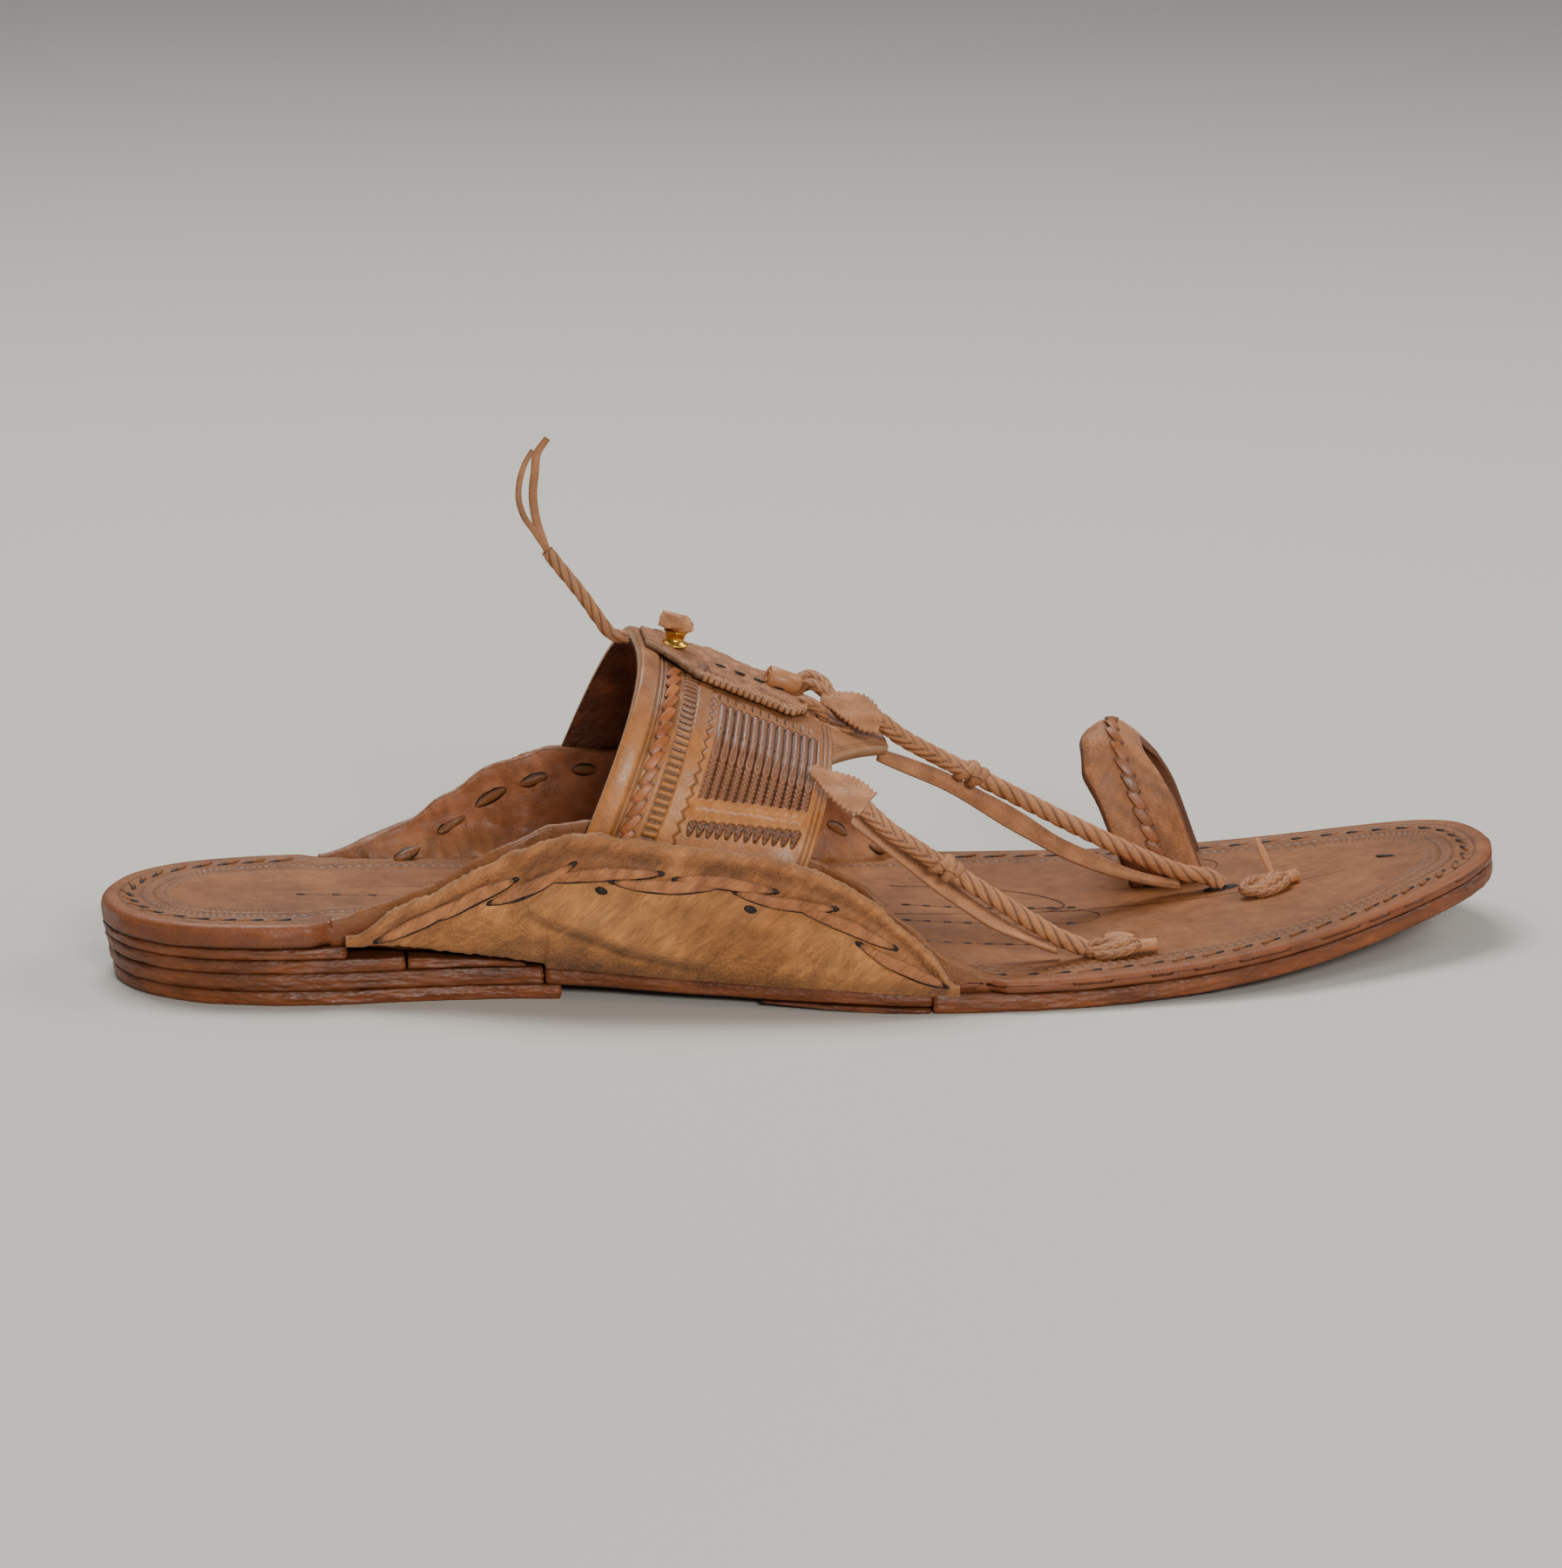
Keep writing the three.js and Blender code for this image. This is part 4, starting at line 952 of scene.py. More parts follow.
def make_flap(side, name, node):
    x = np.linspace(FLAP_FROM - 0.6, FLAP_TO, 260)[:, None]
    low = flap_low(x) + 0.15 * wobble(21 + side, 3, x) * (x < HEEL_BREAST - 4)
    high = flap_height(x) + (0.3 * wobble(22 + side, 7, x) + 0.16 * wobble(23, 1.8, x)) * smooth(x, -92, -82)
    share = np.linspace(0, 1, 48)[None]
    z = lerp(low, high, share)
    out = np.stack([x + 0 * z, flap_skin(side, x, z), z], axis=-1)
    back = np.stack([x + 0 * z, flap_face(side, x, z) - side * (FLAP_WALL - 0.2), z], axis=-1)
    rise, strength = above_fold(x, z)
    hair = wobble(28, 1.6, x * 0.72 - z * 0.7, 0.16 * (x * 0.7 + z * 0.72))
    hair = hair + 0.7 * wobble(29, 3.4, x * 0.72 - z * 0.7, 0.12 * (x * 0.7 + z * 0.72))
    tone = 1 + 0.1 * wobble(26, 22, x, z) + 0.08 * wobble(27, 6, x, z) + 0.1 * hair
    # Darker along the fold's crease: painted shade.
    tone = tone * (1 - 0.6 * bump(rise, -0.4, 1.5) * strength)
    # Darker towards the flap's foot: painted shade under its bulge.
    tone = tone * lerp(0.62, 1.0, smooth(z, flap_floor(x), flap_floor(x) + 4))
    border = smooth(z - high, -8.5, -5.0)
    groove = bump(z - high, -3.1, 1.2)
    # Darker in the groove below the top edge, partly its own colour and partly painted shade.
    tone = tone * (1 - 0.12 * border - 0.22 * groove + 0.25 * bump(z - high, -0.3, 1.4))
    colour = lerp(FLAP_TINT, FLAP_BORDER_TINT, (0.75 * border)[..., None]) * tone[..., None]
    flap = wall_mesh(name, out, back, flap_leather, colour, FLAP_TINT * 0.85)
    return part(flap, "flap_leather", node)


# Thong stitches along a flap: x and height at the start, x and height at the end
FLAP_STITCHES = [
    (-88.1, 12.9, -71.5, 21.3), (-75.8, 17.7, -62.0, 25.9), (-66.2, 21.3, -50.9, 29.3),
    (-55.7, 26.5, -34.1, 27.8), (-42.6, 26.0, -22.7, 25.5), (-30.5, 26.7, -12.1, 24.5),
    (-18.9, 24.1, -0.6, 21.1), (-7.1, 21.2, 10.9, 13.4), (4.7, 13.9, 20.7, 5.9),
]
# x, z of two larger holes below the stitches
FLAP_HOLES = [(-45.2, 24.2), (-16.5, 20.8)]


def surface_route(face, side, xs, zs, lift):
    """Points on a flap or ear face, raised along the face's outward normal, with those normals."""
    y = face(side, xs, zs)
    step = 0.5
    dy_dx = (face(side, xs + step, zs) - face(side, xs - step, zs)) / (2 * step)
    dy_dz = (face(side, xs, zs + step) - face(side, xs, zs - step)) / (2 * step)
    normal = unit(np.stack([-dy_dx, np.ones_like(xs), -dy_dz], axis=-1) * side)
    return np.stack([xs, y, zs], axis=-1) + normal * np.asarray(lift)[..., None], normal


def make_flap_stitches(side, name):
    batch, stitch_and_hole_shade = Batch(), Batch()
    for k, (x0, z0, x1, z1) in enumerate(FLAP_STITCHES):
        t = np.linspace(0, 1, 40)
        arch = np.sin(math.pi * t)
        xs = lerp(x0, x1, t)
        zs = lerp(z0, z1, t) + (0.6 if k % 2 else -0.4) * arch
        lift = 0.15 + 0.75 * arch ** 0.7
        path, normal = surface_route(flap_skin, side, xs, zs, lift)
        width = 0.6 + 1.9 * arch ** 0.6
        # The stitch darkens towards both ends: painted shade where it dives into its holes.
        ends = lerp(0.4, 1, smooth(t, 0, 0.1)) * lerp(1, 0.4, smooth(t, 0.9, 1))
        shade = (1.0 + 0.14 * wobble(31 + k, 5, xs)) * ends
        batch.strand(path, normal, width, 1.1, STITCH_TINT * shade[:, None], sides=14, square=0.7)
        # A near-black line under each stitch and near-black ellipsoids at its ends: painted shade under the
        # stitch and in its holes.
        seat, out = surface_route(flap_skin, side, xs, zs - 0.5 * width - 0.12, 0.05 + 0 * t)
        stitch_and_hole_shade.strand(seat, out, 0.25 + 0.5 * arch ** 0.5, 0.3, DARK * 1.6, sides=6)
        seat, out = surface_route(flap_skin, side, xs, zs, 0.05 + 0 * t)
        for at, step in ((0, 1), (-1, -2)):
            along = unit(seat[at] - seat[step])
            stitch_and_hole_shade.ball(seat[at], (along * 1.3, np.cross(out[at], along) * 0.6, out[at] * 0.35), DARK)
    # The two larger holes are near-black ellipsoids: painted shade inside them.
    for x, z in FLAP_HOLES:
        point, normal = surface_route(flap_skin, side, np.array([x]), np.array([z]), [0.05])
        out = normal[0]
        along = unit(np.cross(out, (0.3, 0, 1)))
        stitch_and_hole_shade.ball(point[0], (along * 1.3, np.cross(out, along) * 0.8, out * 0.35), DARK * 0.6)
    part(batch.build(name, flap_leather), "flap_leather")
    part(stitch_and_hole_shade.build(name + "_holes", lining_leather), "flap_leather")


# Small leaf-shaped stitches on the inside of an ear: x, z, half length, slope
EAR_STITCHES = [
    (-79.6, 16.8, 2.8, 0.35), (-70.0, 21.3, 3.0, 0.5), (-61.8, 26.5, 3.2, 0.6), (-53.0, 30.2, 3.0, 0.3),
    (-42.5, 31.6, 2.6, -0.1), (11.9, 13.3, 2.2, -0.7), (20.4, 8.9, 1.8, -0.5),
]


def make_ear_stitches(side, name):
    leaves = Batch()
    # Each slit is a near-black lens under its thong and wider than it: painted shade in the slit around the
    # thong.
    slit, thong = (2.6, 0.5, 0.05, DARK), (1.8, 0.9, 0.25, FOOTBED_TINT * 0.85)
    for x, z, half, slope in EAR_STITCHES:
        t = np.linspace(-1, 1, 14)
        xs, zs = x + half * t, z + half * slope * t
        lens = np.clip(1 - t**2, 0, 1) ** 0.6
        for width, thick, lift, tint in (slit, thong):
            path, normal = surface_route(ear_inside, side, xs, zs, -lift * np.ones_like(t))
            leaves.strand(path, -normal, width * lens + 0.1, thick * lens + 0.05, tint, sides=10)
    part(leaves.build(name, footbed_leather), "footbed_leather")


# ---- instep band ------------------------------------------------------------------------------

BAND_WIDE = 44.0
BAND_INSIDE = (-20, -3.5, 25)
# Distances of the tooled columns from the band's rear edge
WELT, LACE, LADDER, TEETH = 4.4, 7.5, 11.7, 16.6
BRAIDS_FROM, BRAIDS_TO, FRONT_LINES = 18.2, 40.6, (41.9, 42.9)
BRAIDS = 12
LADDER_HALF, RUNG_PITCH, TOOTH_PITCH = 1.5, 1.6, 2.5
# Turns at which the braids start and, at the rear and front column, where they stop, where the
# ridge below them runs and where the drops below that start and end
BRAID_TOP_TURN, CUT_TURN = 0.29, 0.245
BRAID_LOW, RIDGE_AT, DROP_TOP, DROP_LOW = (0.762, 0.672), (0.80, 0.725), (0.842, 0.757), (0.897, 0.834)


def band_section(share):
    """The band's section between its rear edge, at share 0, and its front edge, at share 1."""
    return {k: lerp(REAR_EDGE[k], FRONT_EDGE[k], share) for k in REAR_EDGE}


def on_band(share, turn, offset=0.0):
    """A point of the band: turn is -1 at the lateral foot, 0 at the crown and 1 at the medial foot."""
    s = band_section(share)
    angle = turn * math.pi / 2
    power = 2 / s["fullness"]
    y = s["middle"] + np.sign(turn) * (s["half"] + offset) * np.abs(np.sin(angle)) ** power
    z = s["spring"] + (s["crown"] - s["spring"] + offset) * np.abs(np.cos(angle)) ** power
    return np.stack(np.broadcast_arrays(s["edge"] + s["lean"] * (z - EDGE_HEIGHT), y, z), axis=-1)


def turn_at(share, y):
    """The turn at which the band is at a given y."""
    s = band_section(share)
    ratio = np.clip(np.abs(y - s["middle"]) / s["half"], 0, 1) ** (s["fullness"] / 2)
    return np.sign(y - s["middle"]) * np.arcsin(ratio) / (math.pi / 2)


def band_normal(share, turn):
    """The direction square to the band's surface, pointing outwards."""
    step = 1e-3
    inner = np.clip(turn, -0.985, 0.985)
    across = on_band(share + step, turn) - on_band(share - step, turn)
    around = on_band(share, inner + step) - on_band(share, inner - step)
    normal = unit(np.cross(across, around))
    outwards = on_band(share, turn) - np.array(BAND_INSIDE)
    return normal * np.sign(np.sum(normal * outwards, axis=-1, keepdims=True))


def even_turns(count, from_turn=-1.0, to_turn=1.0):
    """Turns that lie at even distances around the band's middle section."""
    turn = np.linspace(from_turn, to_turn, 4000)
    length = arc_length(on_band(0.5, turn))
    return np.interp(np.linspace(0, length[-1], count), length, turn)


FROM_FOOT_TO_FOOT = np.linspace(-1, 1, 4001)
FROM_LATERAL_FOOT = arc_length(on_band(0.5, FROM_FOOT_TO_FOOT))
FROM_CROWN = FROM_LATERAL_FOOT - np.interp(0, FROM_FOOT_TO_FOOT, FROM_LATERAL_FOOT)


def turn_length(turn):
    """Distance around the band from its crown, negative on the lateral side."""
    return np.interp(turn, FROM_FOOT_TO_FOOT, FROM_CROWN)


def tri_wave(t):
    """A zigzag between 0 and 1 that repeats with every whole t."""
    return 2 * np.abs(t % 1 - 0.5)


def press(surface, where, depth, dark):
    """Sinks and darkens a tooled surface, a pair of height and tint, as far as where is 1."""
    height, tint = surface
    return height - depth * where, tint * (1 - dark * where)[..., None]


def press_columns(surface, a, b):
    """The welt, the lacing's channel, the ladder and the row of teeth along the band's rear edge. The welt's
    lines, the ladder's grooves between rungs and along its rails, and the teeth are darker, partly their own
    colour and partly painted shade in the grooves; the lacing's channel is darkened as painted shade under
    the links.
    """
    welt = smooth(-a, -WELT - 0.2, -WELT + 0.6)
    surface = (surface[0] + 0.5 * welt * np.clip(1 - ((a - 2.1) / 3.4) ** 2, 0, 1), surface[1])
    for line in (WELT + 0.2, WELT + 1.1):
        height, tint = surface
        surface = (height - 0.25 * bump(a, line, 0.4), tint * (1 - 0.6 * bump(a, line, 0.42))[..., None])
    surface = press(surface, bump(a, LACE, 3.6), 0.25, 0.3)

    from_ladder = np.abs(a - LADDER)
    on_ladder = smooth(-from_ladder, -LADDER_HALF - 0.05, -LADDER_HALF + 0.3)
    rung = 0.5 + 0.5 * np.cos(2 * math.pi * b / RUNG_PITCH)
    rail = bump(from_ladder, LADDER_HALF, 0.4)
    height = surface[0] + on_ladder * (0.4 * rung - 0.3) - 0.2 * rail
    shade = 1 - on_ladder * 0.8 * np.clip(1 - 1.5 * rung, 0, 1) - 0.35 * rail
    surface = (height, surface[1] * shade[..., None])

    tooth = bump(a - (TEETH + 0.9 * tri_wave(b / TOOTH_PITCH) - 0.3), 0, 0.42)
    height, tint = surface
    return height - 0.35 * tooth, tint * (1 - 0.72 * tooth * smooth(b, 8, 10))[..., None]


def press_braids(surface, a, b, side):
    """Twelve braids side by side, the ridge below them and a drop below each. The weave of braids and drops
    is painted lighter on its crests and darker in its hollows, as painted highlight and shade; the gaps
    between braids, the line along each braid's top, the drops' rims and the cut are darkened as painted
    shade, and the front lines are darker, partly their own colour and partly painted shade.
    """
    height, tint = surface
    across = (a - BRAIDS_FROM) / (BRAIDS_TO - BRAIDS_FROM)
    along = np.clip(across, 0, 1)

    def height_of(turns):
        return turn_length(lerp(*turns, along))

    inside = smooth(across, -0.002, 0.004) * smooth(-across, -1.002, -0.996)
    pitch = (BRAIDS_TO - BRAIDS_FROM) / BRAIDS
    cell = ((a - BRAIDS_FROM) / pitch) % 1 - 0.5
    crown = np.sqrt(np.clip(1 - (cell * 2.12) ** 2, 0, 1))
    start = turn_length(BRAID_TOP_TURN) + 0.9 * (1 - crown)
    stop = height_of(BRAID_LOW)
    above_stop = smooth(-b, -stop - 0.2, -stop + 0.2)
    on_braid = inside * smooth(b, start - 0.1, start + 0.12) * above_stop
    coarse = smooth(side, 0.42, 0.6)
    chevron = (b + 1.2 * np.abs(cell) * pitch) / lerp(0.8, 1.0, coarse)
    weave = 0.5 + 0.5 * np.cos(2 * math.pi * chevron)
    height = height + on_braid * (0.95 * crown - 0.8 + (0.12 + 0.2 * coarse) * (weave - 0.5) * crown)
    gap = inside * smooth(-crown, -0.55, -0.25) * smooth(b, start - 0.6, start) * above_stop
    braid_tint = BRAID_TINT * (0.72 + 0.1 * coarse + (0.3 + 0.3 * coarse) * weave)[..., None]
    tint = lerp(tint, braid_tint, (on_braid * 0.95)[..., None])
    braid_top_shade = inside * bump(b - start, -0.15, 0.45)
    tint = tint * (1 - 0.75 * braid_top_shade)[..., None]
    tint = lerp(tint, DARK, gap[..., None])

    span = smooth(across, -0.05, 0.02) * smooth(-across, -1.03, -0.97)
    scallop = 0.45 * np.cos(2 * math.pi * cell)
    ridge = bump(b - height_of(RIDGE_AT), scallop * 0.4, 3.0) * span
    height = height + 0.75 * ridge
    tint = lerp(tint, RIDGE_TINT, (0.6 * ridge)[..., None])

    drop_top, drop_low = height_of(DROP_TOP), height_of(DROP_LOW)
    down = np.clip((b - drop_top) / np.maximum(drop_low - drop_top, 0.1), -0.5, 1.5)
    half_width = 0.42 * np.sqrt(np.clip(down * 6, 0, 1)) * np.clip((1 - down) * 1.5, 0, 1) ** 0.7
    within = (down > 0) * (down < 1) * inside
    in_drop = smooth(half_width - np.abs(cell), -0.02, 0.06) * within
    rim = bump(half_width - np.abs(cell), 0.0, 0.16) * within
    height = height - 0.45 * in_drop + 0.35 * in_drop * weave - 0.3 * rim
    tint = lerp(tint, BRAID_TINT * (0.7 + 0.65 * weave)[..., None], in_drop[..., None])
    tint = tint * (1 - 0.92 * rim)[..., None]

    for line in FRONT_LINES:
        height, tint = press((height, tint), bump(a, line, 0.4), 0.22, 0.6)
    cut_here = smooth(a, 16.5, 17.5) * smooth(-a, -39.5, -38.5)
    cut = cut_here * bump(b, turn_length(CUT_TURN), 2.2) * smooth(-crown, -0.75, -0.3)
    return press((height, tint), cut, 0.5, 0.93)


def band_relief(share, turn):
    """Height and tint of the tooled outside of the band."""
    a = share * BAND_WIDE
    b = np.abs(turn_length(turn))
    height = 0.07 * wobble(41, 9, a, b) + 0.01 * wobble(44, 1.1, a, b)
    # Darker near the crown, blending into BAND_TINT from 22 to 42 mm down each side: painted shade.
    tint = lerp(BAND_SHADED_TOP_TINT, BAND_TINT, smooth(b, 22, 42)[..., None])
    tint = tint * (1 + 0.09 * wobble(42, 12, a, b) + 0.07 * wobble(43, 3, a, b))[..., None]
    height, tint = press_columns((height, tint), a, b)
    height, tint = press_braids((height, tint), a, b, np.abs(turn))
    edge = np.minimum(a, BAND_WIDE - a)
    height = height - 0.5 * (1 - np.sqrt(np.clip(1 - (1 - np.minimum(edge / 0.6, 1)) ** 2, 0, 1)))
    tint = tint * (1 + 0.25 * bump(a, 0, 0.8))[..., None]
    return height, tint


def with_foot(points, at_end, steps=6):
    """The same rows of points, carried on straight down between ear and flap at one side."""
    end = points[:, -1 if at_end else 0]
    x = end[:, 0]
    low = np.minimum(lip_height(x) - BAND_TUCK, end[:, 2] - 1)
    foot = [np.column_stack([x, end[:, 1], lerp(end[:, 2], low, k / steps)]) for k in range(1, steps + 1)]
    foot = np.stack(foot, axis=1)
    parts = [points, foot] if at_end else [foot[:, ::-1], points]
    return np.concatenate(parts, axis=1)


def make_band_half(from_turn, to_turn, across, around, name, *nodes):
    """Part of the band: a tooled outside and a rough lining, both with a foot."""
    share = np.linspace(0, 1, across)[:, None]
    turns = even_turns(around, from_turn, to_turn)[None]
    height, tint = band_relief(share + 0 * turns, turns + 0 * share)
    at_end = to_turn > 0.99
    face = with_foot(on_band(share, turns) + band_normal(share, turns) * height[..., None], at_end)
    back = with_foot(on_band(share, turns, -BAND_WALL), at_end)
    more = face.shape[1] - tint.shape[1]
    tint = np.pad(tint, ((0, 0), (0, more) if at_end else (more, 0), (0, 0)), mode="edge")
    edge = np.linspace(0, 1, 5)[1:-1, None, None]
    rear, front = lerp(back[:1], face[:1], edge), lerp(face[-1:], back[-1:], edge)
    outside = np.concatenate([rear, face, front])
    rear_tint = np.broadcast_to(CUT_EDGE_TINT, rear.shape)
    front_tint = np.broadcast_to(CUT_EDGE_TINT * 0.8, front.shape)
    tints = np.concatenate([rear_tint, tint, front_tint])
    outer = make_mesh(name, outside, grid_faces(*outside.shape[:2]), band_leather, tints, closed=False)
    part(outer, "band_leather", *nodes)
    back = back[::2, ::2]
    tone = LINING_TINT * (1 + 0.25 * wobble(48, 9, back[..., 0], back[..., 2]))[..., None]
    faces = grid_faces(*back.shape[:2])[:, ::-1]
    part(make_mesh(name + "_lining", back, faces, lining_leather, tone, closed=False), "band_leather")


# The band's front tab
TAB = dict(start=-3, end=12, fall=0.42, root_half=24.5, tip_half=7.5, middle=-4, sink=0.4)


def make_tab():
    reach = np.linspace(TAB["start"], TAB["end"], 48)[:, None]
    across = np.linspace(-1, 1, 70)[None]
    half = lerp(TAB["root_half"], TAB["tip_half"], np.maximum(0, reach) / TAB["end"])
    y = TAB["middle"] + across * half

    def face(offset):
        point = on_band(1.0, turn_at(1.0, y + 0 * reach), offset - TAB["sink"])
        point[..., 0] += reach + 0 * across
        point[..., 2] -= TAB["fall"] * (reach + 0 * across)
        return point

    rim = (1 - np.abs(across)) * half
    groove = (bump(rim, 1.8, 0.6) + bump(rim, 3.2, 0.6)) * (reach > 0)
    front = face(0)
    front[..., 2] -= 0.25 * groove
    # Darker in the tooled grooves, partly their own colour and partly painted shade.
    tone = TAB_TINT * (1 - 0.5 * groove + 0.1 * wobble(45, 6, reach, y))[..., None]
    tab = wall_mesh("band_tab", front, face(-BAND_WALL), band_leather, tone, RAW_TINT)
    part(tab, "band_leather")


def make_lacing(place, length, period, tint, width, reach, overlap, thick):
    """A chain of flat slanted links: place(distance, across) gives points and normals."""
    links = Batch()
    for k in range(int(length / period)):
        t = np.linspace(0, 1, 14)
        along = (k + 0.1) * period + t * period * overlap
        sway = reach * (1 - 2 * t) * (0.9 + 0.15 * math.sin(2.4 * k))
        points, normal = place(along, sway)
        lift = 0.05 + 0.35 * np.sin(math.pi * t) ** 0.6
        shape = 0.7 + 0.3 * np.sin(math.pi * t) ** 0.5
        # Each link is a little lighter or darker than the next, painted shade, and darkens towards both ends,
        # painted shade where it tucks under its neighbours.
        wear_and_shade = 0.75 + 0.35 * ((k * 7) % 5) / 4
        shade = lerp(0.3, 1.0, smooth(t, 0, 0.2)) * lerp(1, 0.35, smooth(t, 0.85, 1)) * wear_and_shade
        path = points + normal * lift[:, None]
        links.strand(path, normal, width * shape, thick * shape, tint * shade[:, None], sides=12, square=0.45)
    return links


def band_place(column_at, side):
    """Along a column of the band from its crown towards one foot."""
    turn = np.linspace(0, 1, 1500) * side
    share = column_at / BAND_WIDE
    length = arc_length(on_band(share, turn))

    def place(distance, sway):
        at = np.interp(distance, length, np.abs(turn)) * side
        return on_band(share + sway / BAND_WIDE, at), band_normal(share, at)

    return place, length[-1]


def make_band():
    make_band_half(-1.0, 0.02, 214, 340, "band_lateral", "instep_band")
    make_band_half(0.02, 1.0, 124, 210, "band_medial")
    make_tab()
    crown, foot = 13.5, 3.5
    for side, name in ((-1, "lateral"), (1, "medial")):
        place, length = band_place(LACE, side)

        def below_crown(distance, sway, place=place):
            return place(distance + crown, sway)

        links = make_lacing(below_crown, length - crown - foot, 3.35, LACING_TINT, 1.8, 1.15, 1.45, 0.5)
        part(links.build("band_lacing_" + name, band_leather), "band_leather")


# ---- ridge strip, stud and what is tied there -------------------------------------------------

# The strip's ends as shares of the band's width, its edges' y and its thickness
STRIP = dict(start=0.02, end=0.86, lateral=-19.5, medial=5.0, wall=1.3)
# Slits in the strip: distance from the band's rear edge, y
STRIP_SLITS = [(18.0, -10.6), (22.5, -10.2), (27.0, -9.8), (31.5, -9.4)]


def strip_top(x):
    rear, front = on_band(0.0, 0.0)[0], on_band(1.0, 0.0)[0]
    share = np.clip((x - rear) / (front - rear), 0, 1)
    return on_band(share, 0.0 * share, GAP + STRIP["wall"])[..., 2]


def make_strip():
    share = np.linspace(STRIP["start"], STRIP["end"], 200)[:, None]
    flat_y = np.linspace(STRIP["lateral"], STRIP["medial"], 80)[None]
    middle = -6.0
    at_rear = 1 - smooth(share, STRIP["start"], STRIP["start"] + 0.3)
    at_front = smooth(share, STRIP["end"] - 0.12, STRIP["end"])
    narrow = (1 - 0.5 * at_rear) * (1 - 0.3 * at_front**2)
    a = share * BAND_WIDE
    ragged = 0.22 * wobble(53, 2.4, a) * smooth(share, 0.04, 0.1)
    y = middle + (flat_y - middle) * narrow + ragged * np.sign(flat_y - middle)
    rim = flat_y - STRIP["lateral"]

    def rib_at(inward):
        return smooth(np.cos(2 * math.pi * (a + 0.8 * inward) / 1.35), -0.75, 0.1)

    rib = rib_at(rim)
    ribbed = smooth(-rim, -2.6, -2.0) * smooth(share, 0.28, 0.34)
    height = 0.3 * ribbed * rib - 0.5 * bump(rim, 2.9, 0.7) * smooth(share, 0.2, 0.3)
    height = height + 0.25 * wobble(51, 6, a, flat_y) + 0.06 * wobble(56, 1.2, a, flat_y)
    torn = bump(np.hypot(a - 13.5, (flat_y + 15) * 1.2), 0, 7)
    height = height + torn * 0.45 * wobble(54, 1.4, a, flat_y * 2)
    tone = 1 + 0.2 * wobble(52, 6, a, flat_y) + 0.14 * wobble(55, 1.3, a, flat_y)
    tone = STRIP_TINT * tone[..., None]
    # On the ribbed binding the crests are painted lighter and the hollows darker: painted highlight and
    # shade.
    tone = lerp(tone, BINDING_TINT * (0.25 + 0.8 * rib)[..., None], ribbed[..., None])
    # Darker along the groove inside the rim, painted shade, and over the torn patch.
    tone = tone * (1 - 0.5 * bump(rim, 2.9, 0.7) - 0.25 * torn)[..., None]

    def face(offset):
        return on_band(share + 0 * y, turn_at(share, y), offset)

    front = face(GAP + STRIP["wall"])
    front[..., 2] += height
    # The binding at the strip's edges gets the same painted highlight and shade on its ribs.
    bound = BINDING_TINT * (0.25 + 0.75 * rib_at(-0.8))[..., None]
    under = lerp(RAW_TINT * 0.6, bound, smooth(share, 0.28, 0.34)[..., None])
    strip = wall_mesh("ridge_strip_piece", front, face(GAP + 0.1), thong_leather, tone, under)
    part(strip, "band_leather", "ridge_strip")
    # The strip's slits are near-black ellipsoids: painted shade inside them.
    slits = Batch()
    for a, y in STRIP_SLITS:
        at = a / BAND_WIDE
        point = on_band(at, turn_at(at, y), GAP + STRIP["wall"] + 0.25)
        slits.ball(point, ((1.2, 0, -0.45), (0, 0.45, 0), (0, 0, 0.25)), DARK)
    part(slits.build("ridge_slits", lining_leather), "band_leather")


def lathe(batch, profile, centre, axis, tint, sides=28):
    """A turned form: profile is radius and height along an axis."""
    axis = unit(np.asarray(axis, float))
    side = unit(np.cross(axis, (0, 1, 0.1)))
    other = np.cross(axis, side)
    turn = np.linspace(0, 2 * math.pi, sides, endpoint=False)
    rows = [
        np.asarray(centre) + axis * h + r * (np.cos(turn)[:, None] * side + np.sin(turn)[:, None] * other)
        for r, h in profile
    ]
    verts = np.stack(rows)
    batch.add(verts, grid_faces(*verts.shape[:2], wrap_cols=True), tint)


def make_stud():
    x, y = -27.4, -8.0
    base = strip_top(x) + 0.3
    barrel = Batch()
    profile = [
        (0.01, 0), (2.9, 0), (3.0, 0.25), (2.9, 0.5), (2.1, 0.8),
        (1.9, 1.4), (2.0, 2.3), (2.5, 2.9), (2.4, 3.1), (0.01, 3.1),
    ]
    lathe(barrel, profile, (x, y, base), (0.14, -0.03, 1), BRAID_TINT)
    part(barrel.build("stud_eyelet", brass_metal), "brass", "stud_barrel")
    cap = Batch()
    rows, cols = 20, 40
    lat = np.linspace(0.02, math.pi - 0.02, rows)[:, None]
    lon = np.linspace(0, 2 * math.pi, cols, endpoint=False)[None]
    across, ahead, tall = np.sin(lat) * np.cos(lon), np.sin(lat) * np.sin(lon), np.cos(lat) + 0 * lon
    lump = 1 + 0.16 * wobble(57, 1.4, across, ahead, tall) + 0.05 * wobble(59, 0.4, across, ahead, tall)
    square = np.abs(np.cos(lat)) ** 0.6 * np.sign(np.cos(lat))
    body = np.stack([
        3.1 * lump * np.sin(lat) ** 0.6 * np.cos(lon),
        2.9 * lump * np.sin(lat) ** 0.6 * np.sin(lon),
        1.7 * lump * square + 0 * lon,
    ], axis=-1)
    tone = CORD_TINT * (1 + 0.25 * wobble(58, 1.1, body[..., 0], body[..., 1], body[..., 2]))[..., None]
    body[..., 2] -= 0.2 * body[..., 0]
    cap.add(body + np.array([x + 0.6, y, base + 4.7]), grid_faces(rows, cols, wrap_cols=True), tone)
    part(cap.build("stud_button", thong_leather, closed=False), "thong_leather", "stud_cap")


